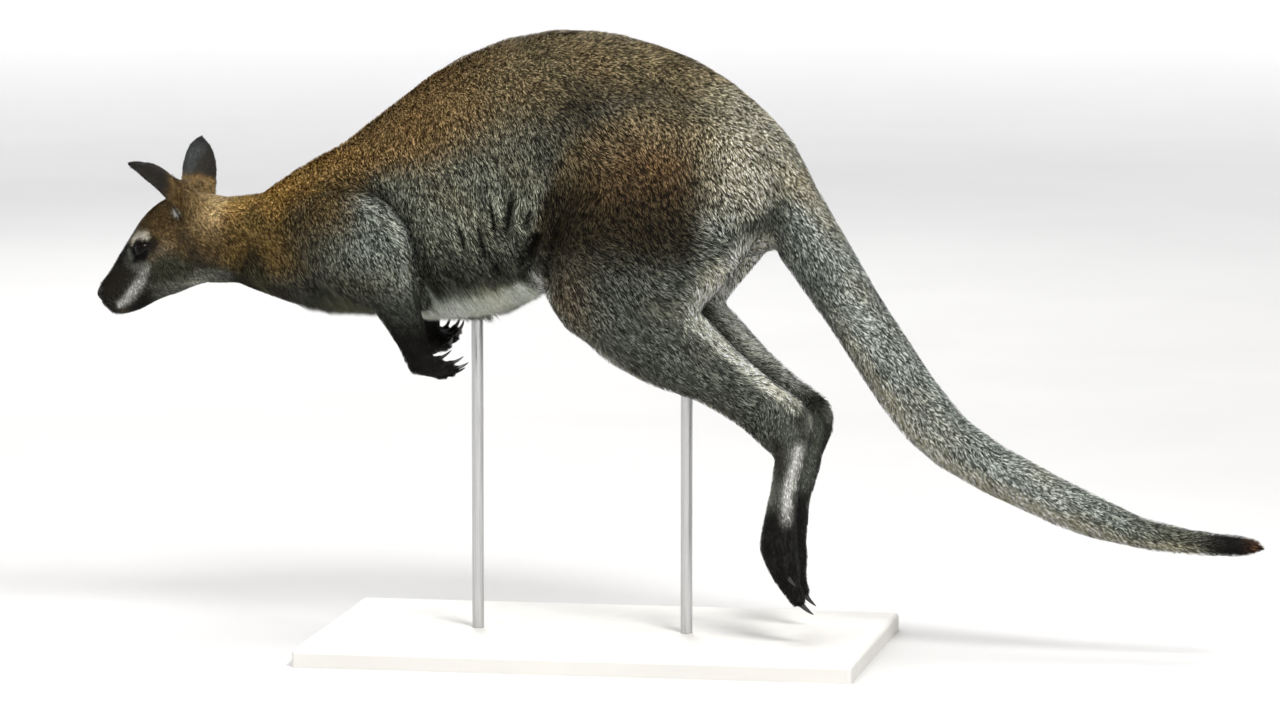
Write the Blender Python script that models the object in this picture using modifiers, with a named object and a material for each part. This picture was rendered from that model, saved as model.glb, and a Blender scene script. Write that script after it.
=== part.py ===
"""Red-necked wallaby in the middle of a hop, life size, held by a plain display stand.

The animal faces -Y with its left side at +X and +Z up. The origin is the middle of the
underside of the stand's base. All sizes are in metres and include the depth of the coat.
Lofts along named lines are joined into one body, which is then parted by thin cuts.
"""

import math

import bmesh
import bpy
import numpy as np
from mathutils import Matrix, Vector

COLLECTION = "red_necked_wallaby"
GAP = 0.0003            # clearance between pieces that meet

VOXEL = 0.0022          # grid of the joined body before it is thinned out
SMOOTH_PASSES = 50      # rounds off the creases between trunk and limbs
FACE_SMOOTH = 0.12      # share of that smoothing on the face
TIP_SMOOTH = 0.03       # and on ears, hands and toes
BODY_TRIANGLES = 3500
RING_POINTS = 28
STEPS_PER_STATION = 5

# Stand
BASE_LENGTH = 0.56
BASE_WIDTH = 0.34
BASE_HEIGHT = 0.018
BASE_ROUND = 0.004
ROD_RADIUS = 0.006
ROD_FRONT_Y = -0.125
ROD_REAR_Y = 0.088
ROD_FRONT_TOP = 0.362
ROD_REAR_TOP = 0.418

# Eyes
EYE_RADIUS = 0.0098
EYE_CENTRE = (0.0222, -0.4630, 0.3985)

# A station of an outline loft is x of its centre, y and z of one edge of the part in side
# view, y and z of the edge opposite, half its width across, and how much wider the part
# is towards the second edge than towards the first.
# Trunk and tail: upper edge, lower edge.
TRUNK = [
    (0, -0.404, 0.4530, -0.400, 0.3610, 0.0385, 0.00),
    (0, -0.374, 0.4510, -0.372, 0.3610, 0.0420, 0.00),
    (0, -0.346, 0.4560, -0.336, 0.3500, 0.0480, 0.02),
    (0, -0.310, 0.4800, -0.290, 0.3370, 0.0580, 0.05),
    (0, -0.262, 0.5080, -0.225, 0.3340, 0.0680, 0.08),
    (0, -0.210, 0.5480, -0.160, 0.3310, 0.0770, 0.10),
    (0, -0.158, 0.5860, -0.104, 0.3360, 0.0860, 0.10),
    (0, -0.101, 0.6120, -0.055, 0.3590, 0.0930, 0.10),
    (0, -0.040, 0.6240, -0.012, 0.3800, 0.0960, 0.08),
    (0, 0.022, 0.6190, 0.026, 0.3890, 0.0960, 0.04),
    (0, 0.091, 0.5970, 0.060, 0.3920, 0.0930, 0.00),
    (0, 0.146, 0.5630, 0.095, 0.3930, 0.0820, -0.04),
    (0, 0.187, 0.5240, 0.130, 0.3940, 0.0660, -0.04),
    (0, 0.211, 0.4880, 0.162, 0.4000, 0.0470, 0.00),
]

TAIL = [
    (0, 0.200, 0.5030, 0.140, 0.4450, 0.0460, 0.0),
    (0, 0.227, 0.4560, 0.169, 0.4160, 0.0390, 0.0),
    (0, 0.242, 0.4310, 0.187, 0.3920, 0.0350, 0.0),
    (0, 0.286, 0.3570, 0.234, 0.3260, 0.0315, 0.0),
    (0, 0.335, 0.2840, 0.287, 0.2470, 0.0300, 0.0),
    (0, 0.364, 0.2470, 0.326, 0.2040, 0.0280, 0.0),
    (0, 0.398, 0.2210, 0.371, 0.1755, 0.0258, 0.0),
    (0, 0.439, 0.1975, 0.418, 0.1530, 0.0240, 0.0),
    (0, 0.481, 0.1780, 0.462, 0.1345, 0.0225, 0.0),
    (0, 0.522, 0.1585, 0.507, 0.1210, 0.0192, 0.0),
    (0, 0.565, 0.1425, 0.555, 0.1125, 0.0155, 0.0),
    (0, 0.607, 0.1350, 0.601, 0.1095, 0.0130, 0.0),
    (0, 0.638, 0.1320, 0.636, 0.1090, 0.0112, 0.0),
    (0, 0.656, 0.1290, 0.655, 0.1108, 0.0085, 0.0),
    (0, 0.665, 0.1240, 0.665, 0.1150, 0.0045, 0.0),
]

# Head: forehead and bridge of the nose, then chin and jaw.
HEAD = [
    (0, -0.5165, 0.3550, -0.5135, 0.3430, 0.0085, 0.00),
    (0, -0.5130, 0.3605, -0.5075, 0.3350, 0.0125, 0.00),
    (0, -0.5080, 0.3670, -0.4990, 0.3275, 0.0150, 0.02),
    (0, -0.5020, 0.3765, -0.4870, 0.3285, 0.0172, 0.04),
    (0, -0.4945, 0.3890, -0.4730, 0.3330, 0.0205, 0.05),
    (0, -0.4865, 0.4015, -0.4600, 0.3400, 0.0250, 0.04),
    (0, -0.4780, 0.4145, -0.4470, 0.3460, 0.0300, 0.00),
    (0, -0.4700, 0.4265, -0.4350, 0.3500, 0.0345, 0.00),
    (0, -0.4600, 0.4370, -0.4230, 0.3550, 0.0372, 0.00),
    (0, -0.4480, 0.4460, -0.4110, 0.3595, 0.0385, 0.00),
    (0, -0.4300, 0.4535, -0.3980, 0.3620, 0.0385, 0.00),
    (0, -0.4080, 0.4545, -0.3850, 0.3650, 0.0380, 0.00),
]

# Limbs are given for the left side, front edge first. The right ones mirror them.
THIGH = [
    (0.040, 0.042, 0.5720, 0.138, 0.5560, 0.0240, 0.0),
    (0.053, -0.008, 0.5320, 0.176, 0.5120, 0.0440, 0.0),
    (0.063, -0.037, 0.4760, 0.184, 0.4620, 0.0530, 0.0),
    (0.069, -0.050, 0.4250, 0.167, 0.4150, 0.0510, 0.0),
    (0.072, -0.048, 0.3820, 0.138, 0.3790, 0.0450, 0.0),
    (0.073, -0.036, 0.3500, 0.113, 0.3500, 0.0385, 0.0),
    (0.073, -0.018, 0.3290, 0.080, 0.3240, 0.0310, 0.0),
    (0.073, 0.006, 0.3130, 0.055, 0.3050, 0.0190, 0.0),
]

SHIN = [
    (0.073, -0.022, 0.3400, 0.035, 0.3950, 0.0260, 0.0),
    (0.072, 0.011, 0.3050, 0.076, 0.3860, 0.0340, 0.0),
    (0.070, 0.058, 0.2780, 0.107, 0.3590, 0.0310, 0.0),
    (0.066, 0.108, 0.2600, 0.144, 0.3200, 0.0250, 0.0),
    (0.062, 0.147, 0.2380, 0.178, 0.2890, 0.0205, 0.0),
    (0.058, 0.174, 0.2160, 0.207, 0.2690, 0.0190, 0.0),
    (0.056, 0.186, 0.2040, 0.221, 0.2560, 0.0165, 0.0),
]

FOOT = [
    (0.056, 0.1950, 0.2620, 0.2140, 0.2640, 0.0090, 0.0),
    (0.056, 0.1860, 0.2450, 0.2240, 0.2500, 0.0160, 0.0),
    (0.056, 0.1840, 0.2250, 0.2255, 0.2290, 0.0175, 0.0),
    (0.056, 0.1835, 0.2030, 0.2190, 0.2050, 0.0162, 0.0),
    (0.056, 0.1820, 0.1800, 0.2145, 0.1810, 0.0152, 0.0),
    (0.056, 0.1775, 0.1560, 0.2090, 0.1550, 0.0160, 0.0),
    (0.056, 0.1725, 0.1320, 0.2090, 0.1310, 0.0170, 0.0),
    (0.056, 0.1710, 0.1130, 0.2095, 0.1140, 0.0155, 0.0),
    (0.056, 0.1785, 0.0930, 0.2120, 0.1000, 0.0125, 0.0),
    (0.056, 0.1905, 0.0740, 0.2135, 0.0790, 0.0105, 0.0),
    (0.056, 0.2030, 0.0580, 0.2190, 0.0630, 0.0080, 0.0),
]

OUTER_TOE = [
    (0.0680, 0.1860, 0.1420, 0.2060, 0.1420, 0.0055, 0.0),
    (0.0720, 0.1840, 0.1200, 0.2060, 0.1200, 0.0070, 0.0),
    (0.0740, 0.1880, 0.1020, 0.2070, 0.1050, 0.0065, 0.0),
    (0.0745, 0.1960, 0.0870, 0.2080, 0.0920, 0.0045, 0.0),
]

INNER_TOES = [
    (0.0450, 0.1820, 0.1460, 0.1980, 0.1460, 0.0045, 0.0),
    (0.0405, 0.1770, 0.1280, 0.1930, 0.1270, 0.0060, 0.0),
    (0.0395, 0.1780, 0.1120, 0.1920, 0.1120, 0.0060, 0.0),
    (0.0395, 0.1830, 0.0990, 0.1930, 0.1010, 0.0045, 0.0),
]

# Arms: rear edge first, then the front one.
UPPER_ARM = [
    (0.040, -0.300, 0.4680, -0.318, 0.4120, 0.0160, 0.0),
    (0.051, -0.262, 0.4740, -0.293, 0.3880, 0.0260, 0.0),
    (0.061, -0.224, 0.4620, -0.268, 0.3660, 0.0300, 0.0),
    (0.068, -0.194, 0.4380, -0.245, 0.3560, 0.0290, 0.0),
    (0.073, -0.179, 0.4050, -0.230, 0.3560, 0.0255, 0.0),
    (0.075, -0.173, 0.3780, -0.218, 0.3600, 0.0210, 0.0),
]

FOREARM = [
    (0.075, -0.177, 0.4000, -0.232, 0.3740, 0.0200, 0.0),
    (0.076, -0.172, 0.3720, -0.221, 0.3550, 0.0215, 0.0),
    (0.076, -0.166, 0.3460, -0.209, 0.3370, 0.0195, 0.0),
    (0.074, -0.161, 0.3260, -0.197, 0.3190, 0.0160, 0.0),
    (0.071, -0.158, 0.3080, -0.188, 0.3020, 0.0130, 0.0),
    (0.069, -0.156, 0.2960, -0.182, 0.2880, 0.0120, 0.0),
]

# The hand's own frame: x across the palm from thumb to little finger, y along the
# fingers, z out of the back of the hand. Its origin is the wrist.
# Each row of the palm is how far along it lies, half its width and half its depth.
PALM = [
    (-0.008, 0.0115, 0.0112),
    (0.006, 0.0135, 0.0105),
    (0.016, 0.0148, 0.0090),
    (0.022, 0.0130, 0.0065),
]
FINGER_LENGTHS = (0.013, 0.018, 0.021, 0.020, 0.017)
FINGER_ROOTS = (-0.0120, -0.0068, -0.0008, 0.0052, 0.0108)
FINGER_SPREAD = (-0.46, -0.22, -0.02, 0.18, 0.40)
FINGER_START = (0.009, 0.015, 0.017, 0.016, 0.012)
FINGER_RADIUS = 0.0050
HAND_CLAW = 0.014       # length of a finger's claw
HAND_CLAW_RADIUS = 0.0021
# Wrist point, direction of the fingers, direction of the back of the hand
LEFT_HAND = ((0.069, -0.170, 0.2930), (-0.12, 0.97, -0.22), (0.60, -0.10, -0.79))
RIGHT_HAND = ((-0.056, -0.187, 0.2970), (0.12, 0.93, 0.34), (-0.50, 0.26, -0.82))
RIGHT_WRIST_SHIFT = (0.013, -0.024, 0.008)  # the right forearm hangs more upright

RIGHT_HIP_SHIFT = (0.0, 0.003, -0.004)
RIGHT_LEG_SHIFT = (0.0, 0.005, -0.010)
RIGHT_FOOT_SWING = math.radians(-5.5)

EAR_LENGTH = 0.080
EAR_WIDTH = 0.0174      # half of the ear's breadth, laid flat
EAR_THICKNESS = 0.0034
EAR_FLAT = 0.40         # half of the least angle that an ear curls through
EAR_CUT = 0.025         # length of the ear's root that belongs to the head
EAR_ROOT_SPARE = 0.005  # more of that root, which the cut takes away again
# Each ear: base point, direction of the tip, direction that the cup opens to, how far its
# middle arches back from a straight line, then its breadth and its curl. Those two are the
# factors of a polynomial in the share of the length from the base.
LEFT_EAR = ((0.0265, -0.4170, 0.4480), (0.050, -0.0475, 0.0405), (-0.50, -0.45, -0.70), 0.0080,
            (1.22, 0.10, -0.92), (1.04, -1.10))
EAR_TUFT = ((0.0300, -0.4200, 0.4580), (0.0120, 0.0120, 0.0130))    # hair behind that ear
RIGHT_EAR = ((-0.0270, -0.4175, 0.4400), (-0.048, -0.010, 0.062), (-0.84, -0.28, -0.46), 0.0030,
             (0.92, 0.40, -0.50), (1.95, -2.41))

COLOURS = {
    "coat_brown": ((0.13, 0.095, 0.062), 0.85),
    "coat_rufous": ((0.22, 0.105, 0.045), 0.85),
    "coat_grey": ((0.20, 0.185, 0.165), 0.85),
    "coat_black": ((0.018, 0.016, 0.015), 0.80),
    "eye": ((0.012, 0.008, 0.006), 0.10),
    "claw": ((0.030, 0.028, 0.027), 0.35),
    "stand_board": ((0.62, 0.60, 0.57), 0.55),
    "stand_rod": ((0.45, 0.45, 0.46), 0.35),
}


def clear_scene():
    for obj in list(bpy.data.objects):
        bpy.data.objects.remove(obj, do_unlink=True)


def material(name):
    """The named Principled material, made on first use."""
    found = bpy.data.materials.get(name)
    if found:
        return found
    colour, roughness = COLOURS[name]
    made = bpy.data.materials.new(name)
    made.use_nodes = True
    shader = made.node_tree.nodes["Principled BSDF"]
    shader.inputs["Base Color"].default_value = (*colour, 1.0)
    shader.inputs["Roughness"].default_value = roughness
    shader.inputs["Metallic"].default_value = 0.9 if name == "stand_rod" else 0.0
    return made


def smooth_line(stations, steps=STEPS_PER_STATION):
    """Rows of a Catmull-Rom curve through every station, with all its columns."""
    rows = np.array(stations, float)
    padded = np.vstack([2 * rows[0] - rows[1], rows, 2 * rows[-1] - rows[-2]])
    line = []
    for i in range(1, len(padded) - 2):
        a, b, c, d = padded[i - 1:i + 3]
        for t in np.arange(steps) / steps:
            line.append(0.5 * (2 * b + (c - a) * t + (2 * a - 5 * b + 4 * c - d) * t ** 2
                               + (3 * b - a - 3 * c + d) * t ** 3))
    line.append(rows[-1])
    return np.array(line)


def add_rings(bm, centres, across, up, points):
    """A closed skin over egg-shaped rings. Each row of across and up is half an axis."""
    angles = np.arange(points) * 2 * math.pi / points
    rings = []
    for centre, wide, tall, egg in zip(centres, across[0], up, across[1]):
        ring = []
        for angle in angles:
            swell = math.cos(angle) * (1 - egg * math.sin(angle))
            ring.append(bm.verts.new(centre + wide * swell + tall * math.sin(angle)))
        rings.append(ring)
    for ring, centre, inner, tall in ((rings[0], centres[0], centres[1], up[0]),
                                      (rings[-1], centres[-1], centres[-2], up[-1])):
        # a shallow dome closes each end
        outward = (centre - inner) / np.linalg.norm(centre - inner)
        dome = bm.verts.new(centre + outward * 0.55 * np.linalg.norm(tall))
        for j in range(points):
            bm.faces.new((ring[j], ring[(j + 1) % points], dome))
    for low, high in zip(rings, rings[1:]):
        for j in range(points):
            k = (j + 1) % points
            bm.faces.new((low[j], low[k], high[k], high[j]))


def add_loft(bm, stations, points=RING_POINTS, steps=STEPS_PER_STATION):
    """A loft between two edges seen from the side, with its width along X."""
    line = smooth_line(stations, steps)
    first = line[:, [0, 1, 2]]
    second = line[:, [0, 3, 4]]
    across = line[:, 5:6] * np.array([1.0, 0.0, 0.0])
    add_rings(bm, (first + second) / 2, (across, line[:, 6]), (first - second) / 2, points)


def add_tube(bm, stations, points, side, steps=STEPS_PER_STATION):
    """A loft round a line in space: x, y, z, half width along side, half depth."""
    line = smooth_line(stations, steps)
    centres = line[:, :3]
    tangents = np.gradient(centres, axis=0)
    tangents /= np.linalg.norm(tangents, axis=1)[:, None]
    side = np.array(side, float)
    across = side - tangents * (tangents @ side)[:, None]
    across /= np.linalg.norm(across, axis=1)[:, None]
    up = np.cross(across, tangents)
    flat = np.zeros(len(line))
    add_rings(bm, centres, (across * line[:, 3:4], flat), up * line[:, 4:5], points)


def add_blob(bm, centre, radii, turn=(0, 0, 0)):
    """An ellipsoid, turned by degrees about X, Y and Z."""
    spin = Matrix.Identity(4)
    for angle, axis in zip(turn, "XYZ"):
        spin = Matrix.Rotation(math.radians(angle), 4, axis) @ spin
    place = Matrix.Translation(centre) @ spin @ Matrix.Diagonal((*radii, 1))
    bmesh.ops.create_uvsphere(bm, u_segments=20, v_segments=12, radius=1, matrix=place)


def mirrored(stations, shift=(0, 0, 0)):
    """The stations of an outline loft on the other side of the body."""
    dx, dy, dz = shift
    return [(-x + dx, y1 + dy, z1 + dz, y2 + dy, z2 + dz, width, egg)
            for x, y1, z1, y2, z2, width, egg in stations]


def frame(origin, along, outward):
    """Matrix whose y axis is along and whose z axis is nearest to outward."""
    y = Vector(along).normalized()
    z = Vector(outward)
    z = (z - y * z.dot(y)).normalized()
    x = y.cross(z)
    made = Matrix((x, y, z)).transposed().to_4x4()
    made.translation = origin
    return made


def swung(stations, y, z, angle):
    """Stations of an outline loft turned in side view about a point."""
    cosine, sine = math.cos(angle), math.sin(angle)

    def turn(py, pz):
        return (y + (py - y) * cosine - (pz - z) * sine,
                z + (py - y) * sine + (pz - z) * cosine)

    return [(x, *turn(y1, z1), *turn(y2, z2), width, egg)
            for x, y1, z1, y2, z2, width, egg in stations]


def finger_line(index, hand, thumb_side):
    """Points along a finger, and the direction it ends in, in world space."""
    spread = FINGER_SPREAD[index] * thumb_side
    root = Vector((FINGER_ROOTS[index] * thumb_side, FINGER_START[index], 0.0))
    length = FINGER_LENGTHS[index]
    heading = Vector((math.sin(spread), math.cos(spread), 0.0))
    middle = root + heading * length * 0.55
    bent = (heading + Vector((0, 0, -0.45))).normalized()
    tip = middle + bent * length * 0.5
    matrix = frame(*hand)
    return [matrix @ point for point in (root, middle, tip)], matrix.to_3x3() @ bent


def add_palm(bm, hand):
    matrix = frame(*hand)
    palm = [(*(matrix @ Vector((0, y, 0))), width, depth) for y, width, depth in PALM]
    add_tube(bm, palm, 16, matrix.to_3x3() @ Vector((1, 0, 0)))


def join_fingers(piece, hand, thumb_side, collection):
    """Adds the five fingers to the piece that holds the palm."""
    across = frame(*hand).to_3x3() @ Vector((1, 0, 0))
    sizes = (FINGER_RADIUS, FINGER_RADIUS * 0.94, FINGER_RADIUS * 0.74)
    for index in range(5):
        points, _ = finger_line(index, hand, thumb_side)
        stations = [(*point, size, size) for point, size in zip(points, sizes)]
        bm = bmesh.new()
        add_tube(bm, stations, 7, across, 1)
        bmesh.ops.recalc_face_normals(bm, faces=bm.faces)
        finger = new_object("finger", bm, collection)
        boolean(piece, finger, "UNION")
        bpy.data.objects.remove(finger, do_unlink=True)


def ear_surface(bm, base, direction, opening, arch, breadths, curls):
    """The ear as a cupped leaf, open towards one side."""
    matrix = frame(base, direction, opening)
    rows, columns = 12, 8
    grid = []
    for i in range(rows):
        u = i / (rows - 1)
        breadth = EAR_WIDTH * (breadths[0] + breadths[1] * u + breadths[2] * u ** 2)
        breadth *= math.sqrt(max(0.0, 1 - max(0.0, (u - 0.52) / 0.48) ** 2.4))
        breadth = max(breadth, 0.0016)
        curl = max(curls[0] + curls[1] * u, EAR_FLAT)
        row = []
        for j in range(columns):
            v = 2 * j / (columns - 1) - 1
            radius = breadth / math.sin(min(curl, 1.5))
            x = radius * math.sin(curl * v)
            z = radius * (1 - math.cos(curl * v)) - arch * 4 * u * (1 - u)
            point = Vector((x, EAR_LENGTH * u - 0.15 * breadth * v * v, z))
            row.append(bm.verts.new(matrix @ point))
        grid.append(row)
    for low, high in zip(grid, grid[1:]):
        for j in range(columns - 1):
            bm.faces.new((low[j], low[j + 1], high[j + 1], high[j]))


def new_object(name, bm, collection):
    mesh = bpy.data.meshes.new(name)
    bm.to_mesh(mesh)
    bm.free()
    obj = bpy.data.objects.new(name, mesh)
    collection.objects.link(obj)
    return obj


def applied(obj):
    """Replaces an object's mesh by what its modifiers make of it."""
    graph = bpy.context.evaluated_depsgraph_get()
    mesh = bpy.data.meshes.new_from_object(obj.evaluated_get(graph))
    obj.modifiers.clear()
    obj.data = mesh
    return obj


def build_ear(name, ear, thickness, collection):
    bm = bmesh.new()
    ear_surface(bm, *ear)
    obj = new_object(name, bm, collection)
    solidify = obj.modifiers.new("thickness", "SOLIDIFY")
    solidify.thickness = thickness
    solidify.offset = 0
    return applied(obj)


def ear_plane(ear):
    """Point and normal of the plane between an ear and its root on the head."""
    tip = Vector(ear[1]).normalized()
    return Vector(ear[0]) + tip * EAR_CUT, tip


def right_foot(stations):
    """The stations of a left toe or foot, mirrored and swung about the heel."""
    heel_y, heel_z = FOOT[1][3:5]
    moved = mirrored(stations, RIGHT_LEG_SHIFT)
    return swung(moved, heel_y + RIGHT_LEG_SHIFT[1], heel_z + RIGHT_LEG_SHIFT[2],
                 RIGHT_FOOT_SWING)


def right_forearm():
    """The left forearm mirrored, and carried over to the right wrist along its length."""
    moved = []
    for share, station in zip(np.linspace(0, 1, len(FOREARM)), FOREARM):
        shift = [share * part for part in RIGHT_WRIST_SHIFT]
        moved += mirrored([station], shift)
    return moved


def add_face(bm):
    """Head with nose pad, lips, cheeks, brows and the roots of the ears, on both sides."""
    add_loft(bm, HEAD)
    add_blob(bm, (0, -0.5110, 0.3520), (0.0118, 0.0062, 0.0088), (-28, 0, 0))
    for side in (1, -1):
        add_blob(bm, (side * 0.0085, -0.4970, 0.3470), (0.0090, 0.0160, 0.0080), (35, 0, 0))
        add_blob(bm, (side * 0.0180, -0.4350, 0.3820), (0.0215, 0.0340, 0.0250), (30, 0, 0))
        add_blob(bm, (side * 0.0212, -0.4610, 0.4085), (0.0105, 0.0180, 0.0085), (50, 0, 0))
        add_blob(bm, (side * 0.0200, -0.4590, 0.3900), (0.0105, 0.0170, 0.0085), (50, 0, 0))
    for base, *_ in (LEFT_EAR, RIGHT_EAR):
        add_blob(bm, base, (0.0140, 0.0160, 0.0140))
    add_blob(bm, *EAR_TUFT)


def build_body(collection):
    """Every part of flesh as overlapping closed shapes in one mesh, joined on a fine grid."""
    bm = bmesh.new()
    add_loft(bm, TRUNK, 40)
    add_loft(bm, TAIL)
    add_face(bm)
    for stations in (THIGH, SHIN, FOOT, OUTER_TOE, INNER_TOES, UPPER_ARM, FOREARM):
        add_loft(bm, stations)
    add_loft(bm, mirrored(THIGH, RIGHT_HIP_SHIFT))
    add_loft(bm, mirrored(SHIN, RIGHT_LEG_SHIFT))
    for stations in (FOOT, OUTER_TOE, INNER_TOES):
        add_loft(bm, right_foot(stations))
    add_loft(bm, mirrored(UPPER_ARM))
    add_loft(bm, right_forearm())
    add_palm(bm, LEFT_HAND)
    add_palm(bm, RIGHT_HAND)
    bmesh.ops.recalc_face_normals(bm, faces=bm.faces)
    for ear in (LEFT_EAR, RIGHT_EAR):
        point, tip = ear_plane(ear)
        root = build_ear("ear_root", ear, EAR_THICKNESS + VOXEL, collection)
        bm.from_mesh(sliced(root.data, point + tip * EAR_ROOT_SPARE, tip))
        bpy.data.objects.remove(root, do_unlink=True)
    body = new_object("body", bm, collection)
    remesh = body.modifiers.new("join", "REMESH")
    remesh.mode = "VOXEL"
    remesh.voxel_size = VOXEL
    applied(body)
    soften(body)
    shape_face(body)
    thin_out(body)
    return body


def face_weight(points):
    """1 on the face, fading to 0 over the cheeks."""
    return np.clip((-0.405 - points[:, 1]) / 0.02, 0, 1)


def tip_weight(points):
    """1 on ears, hands, toes and the end of the tail, and 0 on the rest of the body."""
    ears = np.clip((points[:, 2] - 0.446) / 0.008, 0, 1) * (points[:, 1] < -0.38)
    ears = ears * np.clip((np.abs(points[:, 0]) - 0.018) / 0.008, 0, 1)
    hands = np.clip((0.325 - points[:, 2]) / 0.02, 0, 1) * (points[:, 1] < -0.08)
    toes = np.clip((0.19 - points[:, 2]) / 0.03, 0, 1) * (points[:, 1] < 0.26)
    tail_end = np.clip((points[:, 1] - 0.55) / 0.1, 0, 1)
    return np.max([ears, hands, toes, tail_end], axis=0)


def coordinates(mesh):
    points = np.empty(len(mesh.vertices) * 3, np.float32)
    mesh.vertices.foreach_get("co", points)
    return points.reshape(-1, 3)


def set_group(obj, name, weights, levels=16):
    """A vertex group from an array, in a few levels of weight."""
    group = obj.vertex_groups.new(name=name)
    level = np.round(weights * levels).astype(int)
    for value in range(1, levels + 1):
        group.add(np.flatnonzero(level == value).tolist(), value / levels, "REPLACE")
    return group


def soften(obj):
    points = coordinates(obj.data)
    share = 1 - (1 - FACE_SMOOTH) * face_weight(points)
    share = np.minimum(share, 1 - (1 - TIP_SMOOTH) * tip_weight(points))
    set_group(obj, "soft", share, 64)
    smooth = obj.modifiers.new("soften", "SMOOTH")
    smooth.factor = 0.5
    smooth.iterations = SMOOTH_PASSES
    smooth.vertex_group = "soft"
    applied(obj)
    obj.vertex_groups.clear()


def dent(points, centre, radii, depth, towards):
    """Moves points near a centre along a direction, fading over an ellipsoid."""
    away = (points - np.array(centre)) / np.array(radii)
    fade = np.exp(-np.sum(away ** 2, axis=1))
    return points + np.outer(fade * depth, np.array(towards))


def shape_face(obj):
    """Corners of the eyes, nostrils and the line of the mouth."""
    points = coordinates(obj.data).astype(float)
    x, y, z = EYE_CENTRE
    for side in (1, -1):
        points = dent(points, (side * 0.030, y - 0.0105, z - 0.0030), (0.010, 0.005, 0.0045),
                      0.0022, (-side * 1.0, 0.0, 0.0))
        points = dent(points, (side * 0.0085, -0.5145, 0.3530), (0.0035, 0.0040, 0.0030),
                      0.0028, (-side * 0.5, 0.85, 0.0))
        for share in np.linspace(0, 1, 9):
            spot = (side * (0.004 + 0.0140 * share ** 0.6), -0.5065 + 0.0400 * share,
                    0.3375 + 0.0045 * share)
            points = dent(points, spot, (0.0080, 0.0040, 0.0018), 0.0011,
                          (-side * 0.8, 0.6 * (1 - share), 0.0))
    obj.data.vertices.foreach_set("co", points.astype(np.float32).ravel())
    obj.data.update()


def thin_out(obj):
    """Reduces the joined body to its share of triangles, with more of them on the face."""
    points = coordinates(obj.data)
    detail = np.maximum(0.20 * face_weight(points), 0.12 * tip_weight(points))
    set_group(obj, "plain", 1 - detail)
    decimate = obj.modifiers.new("thin_out", "DECIMATE")
    decimate.ratio = BODY_TRIANGLES / (2 * len(obj.data.polygons))
    decimate.vertex_group = "plain"
    decimate.vertex_group_factor = 1.0
    decimate.use_collapse_triangulate = True
    applied(obj)
    obj.vertex_groups.clear()


def boolean(obj, cutter, operation):
    modifier = obj.modifiers.new(cutter.name, "BOOLEAN")
    modifier.operation = operation
    modifier.object = cutter
    return applied(obj)


def copy_of(obj, name):
    made = bpy.data.objects.new(name, obj.data.copy())
    obj.users_collection[0].objects.link(made)
    return made


def outline_block(name, outline, inner, outer, inset, collection):
    """A smooth closed outline in the YZ plane, given depth along X. Its inner face is
    upright below one height and slants outwards above it."""
    side = 1 if outer > 0 else -1
    least, slope, bend_z = inner
    points = smooth_line(outline[-1:] + outline + outline[:2], OUTLINE_STEPS)
    points = points[OUTLINE_STEPS:-OUTLINE_STEPS - 1]
    middle = points.mean(axis=0)
    away = points - middle
    length = np.linalg.norm(away, axis=1)[:, None]
    points = middle + away * (length - inset) / length
    bm = bmesh.new()
    bm.faces.new([bm.verts.new((0, y, z)) for y, z in points])
    bmesh.ops.bisect_plane(bm, geom=bm.verts[:] + bm.edges[:] + bm.faces[:], dist=1e-5,
                           plane_co=(0, 0, bend_z), plane_no=(0, 0, 1))
    flat = bm.verts[:]
    made = bmesh.ops.extrude_face_region(bm, geom=bm.faces[:])
    for part in made["geom"]:
        if isinstance(part, bmesh.types.BMVert):
            part.co.x = outer
    for vert in flat:
        rise = max(0.0, vert.co.z - bend_z)
        vert.co.x = side * (least + inset + slope * rise)
    bmesh.ops.recalc_face_normals(bm, faces=bm.faces)
    obj = new_object(name, bm, collection)
    obj.hide_render = True
    obj.display_type = "WIRE"
    return obj


def lift_out(body, name, outline, inner, outer, cutters):
    """Parts a limb from the body along an outline, with a gap all round."""
    hole = outline_block(name + "_hole", outline, inner, outer, 0.0, cutters)
    plug = outline_block(name + "_plug", outline, inner, outer, GAP, cutters)
    limb = boolean(copy_of(body, name), plug, "INTERSECT")
    boolean(body, hole, "DIFFERENCE")
    keep_largest(limb)
    keep_largest(body)
    return limb


def keep_largest(obj):
    """Drops crumbs that a cut leaves beside the main solid."""
    bm = bmesh.new()
    bm.from_mesh(obj.data)
    bm.verts.ensure_lookup_table()
    seen = set()
    islands = []
    for start in bm.verts:
        if start in seen:
            continue
        island = [start]
        seen.add(start)
        for vert in island:
            for edge in vert.link_edges:
                other = edge.other_vert(vert)
                if other not in seen:
                    seen.add(other)
                    island.append(other)
        islands.append(island)
    islands.sort(key=len)
    for island in islands[:-1]:
        bmesh.ops.delete(bm, geom=island, context="VERTS")
    bm.to_mesh(obj.data)
    bm.free()


def sliced(mesh, point, normal):
    """The side of a closed mesh that the normal points away from, capped flat."""
    bm = bmesh.new()
    bm.from_mesh(mesh)
    geometry = bm.verts[:] + bm.edges[:] + bm.faces[:]
    bmesh.ops.bisect_plane(bm, geom=geometry, dist=1e-6, plane_co=point, plane_no=normal,
                           clear_outer=True)
    rim = [edge for edge in bm.edges if edge.is_boundary]
    bmesh.ops.holes_fill(bm, edges=rim, sides=0)
    bmesh.ops.triangulate(bm, faces=[face for face in bm.faces if len(face.verts) > 4])
    made = bpy.data.meshes.new("slice")
    bm.to_mesh(made)
    bm.free()
    return made


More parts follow.
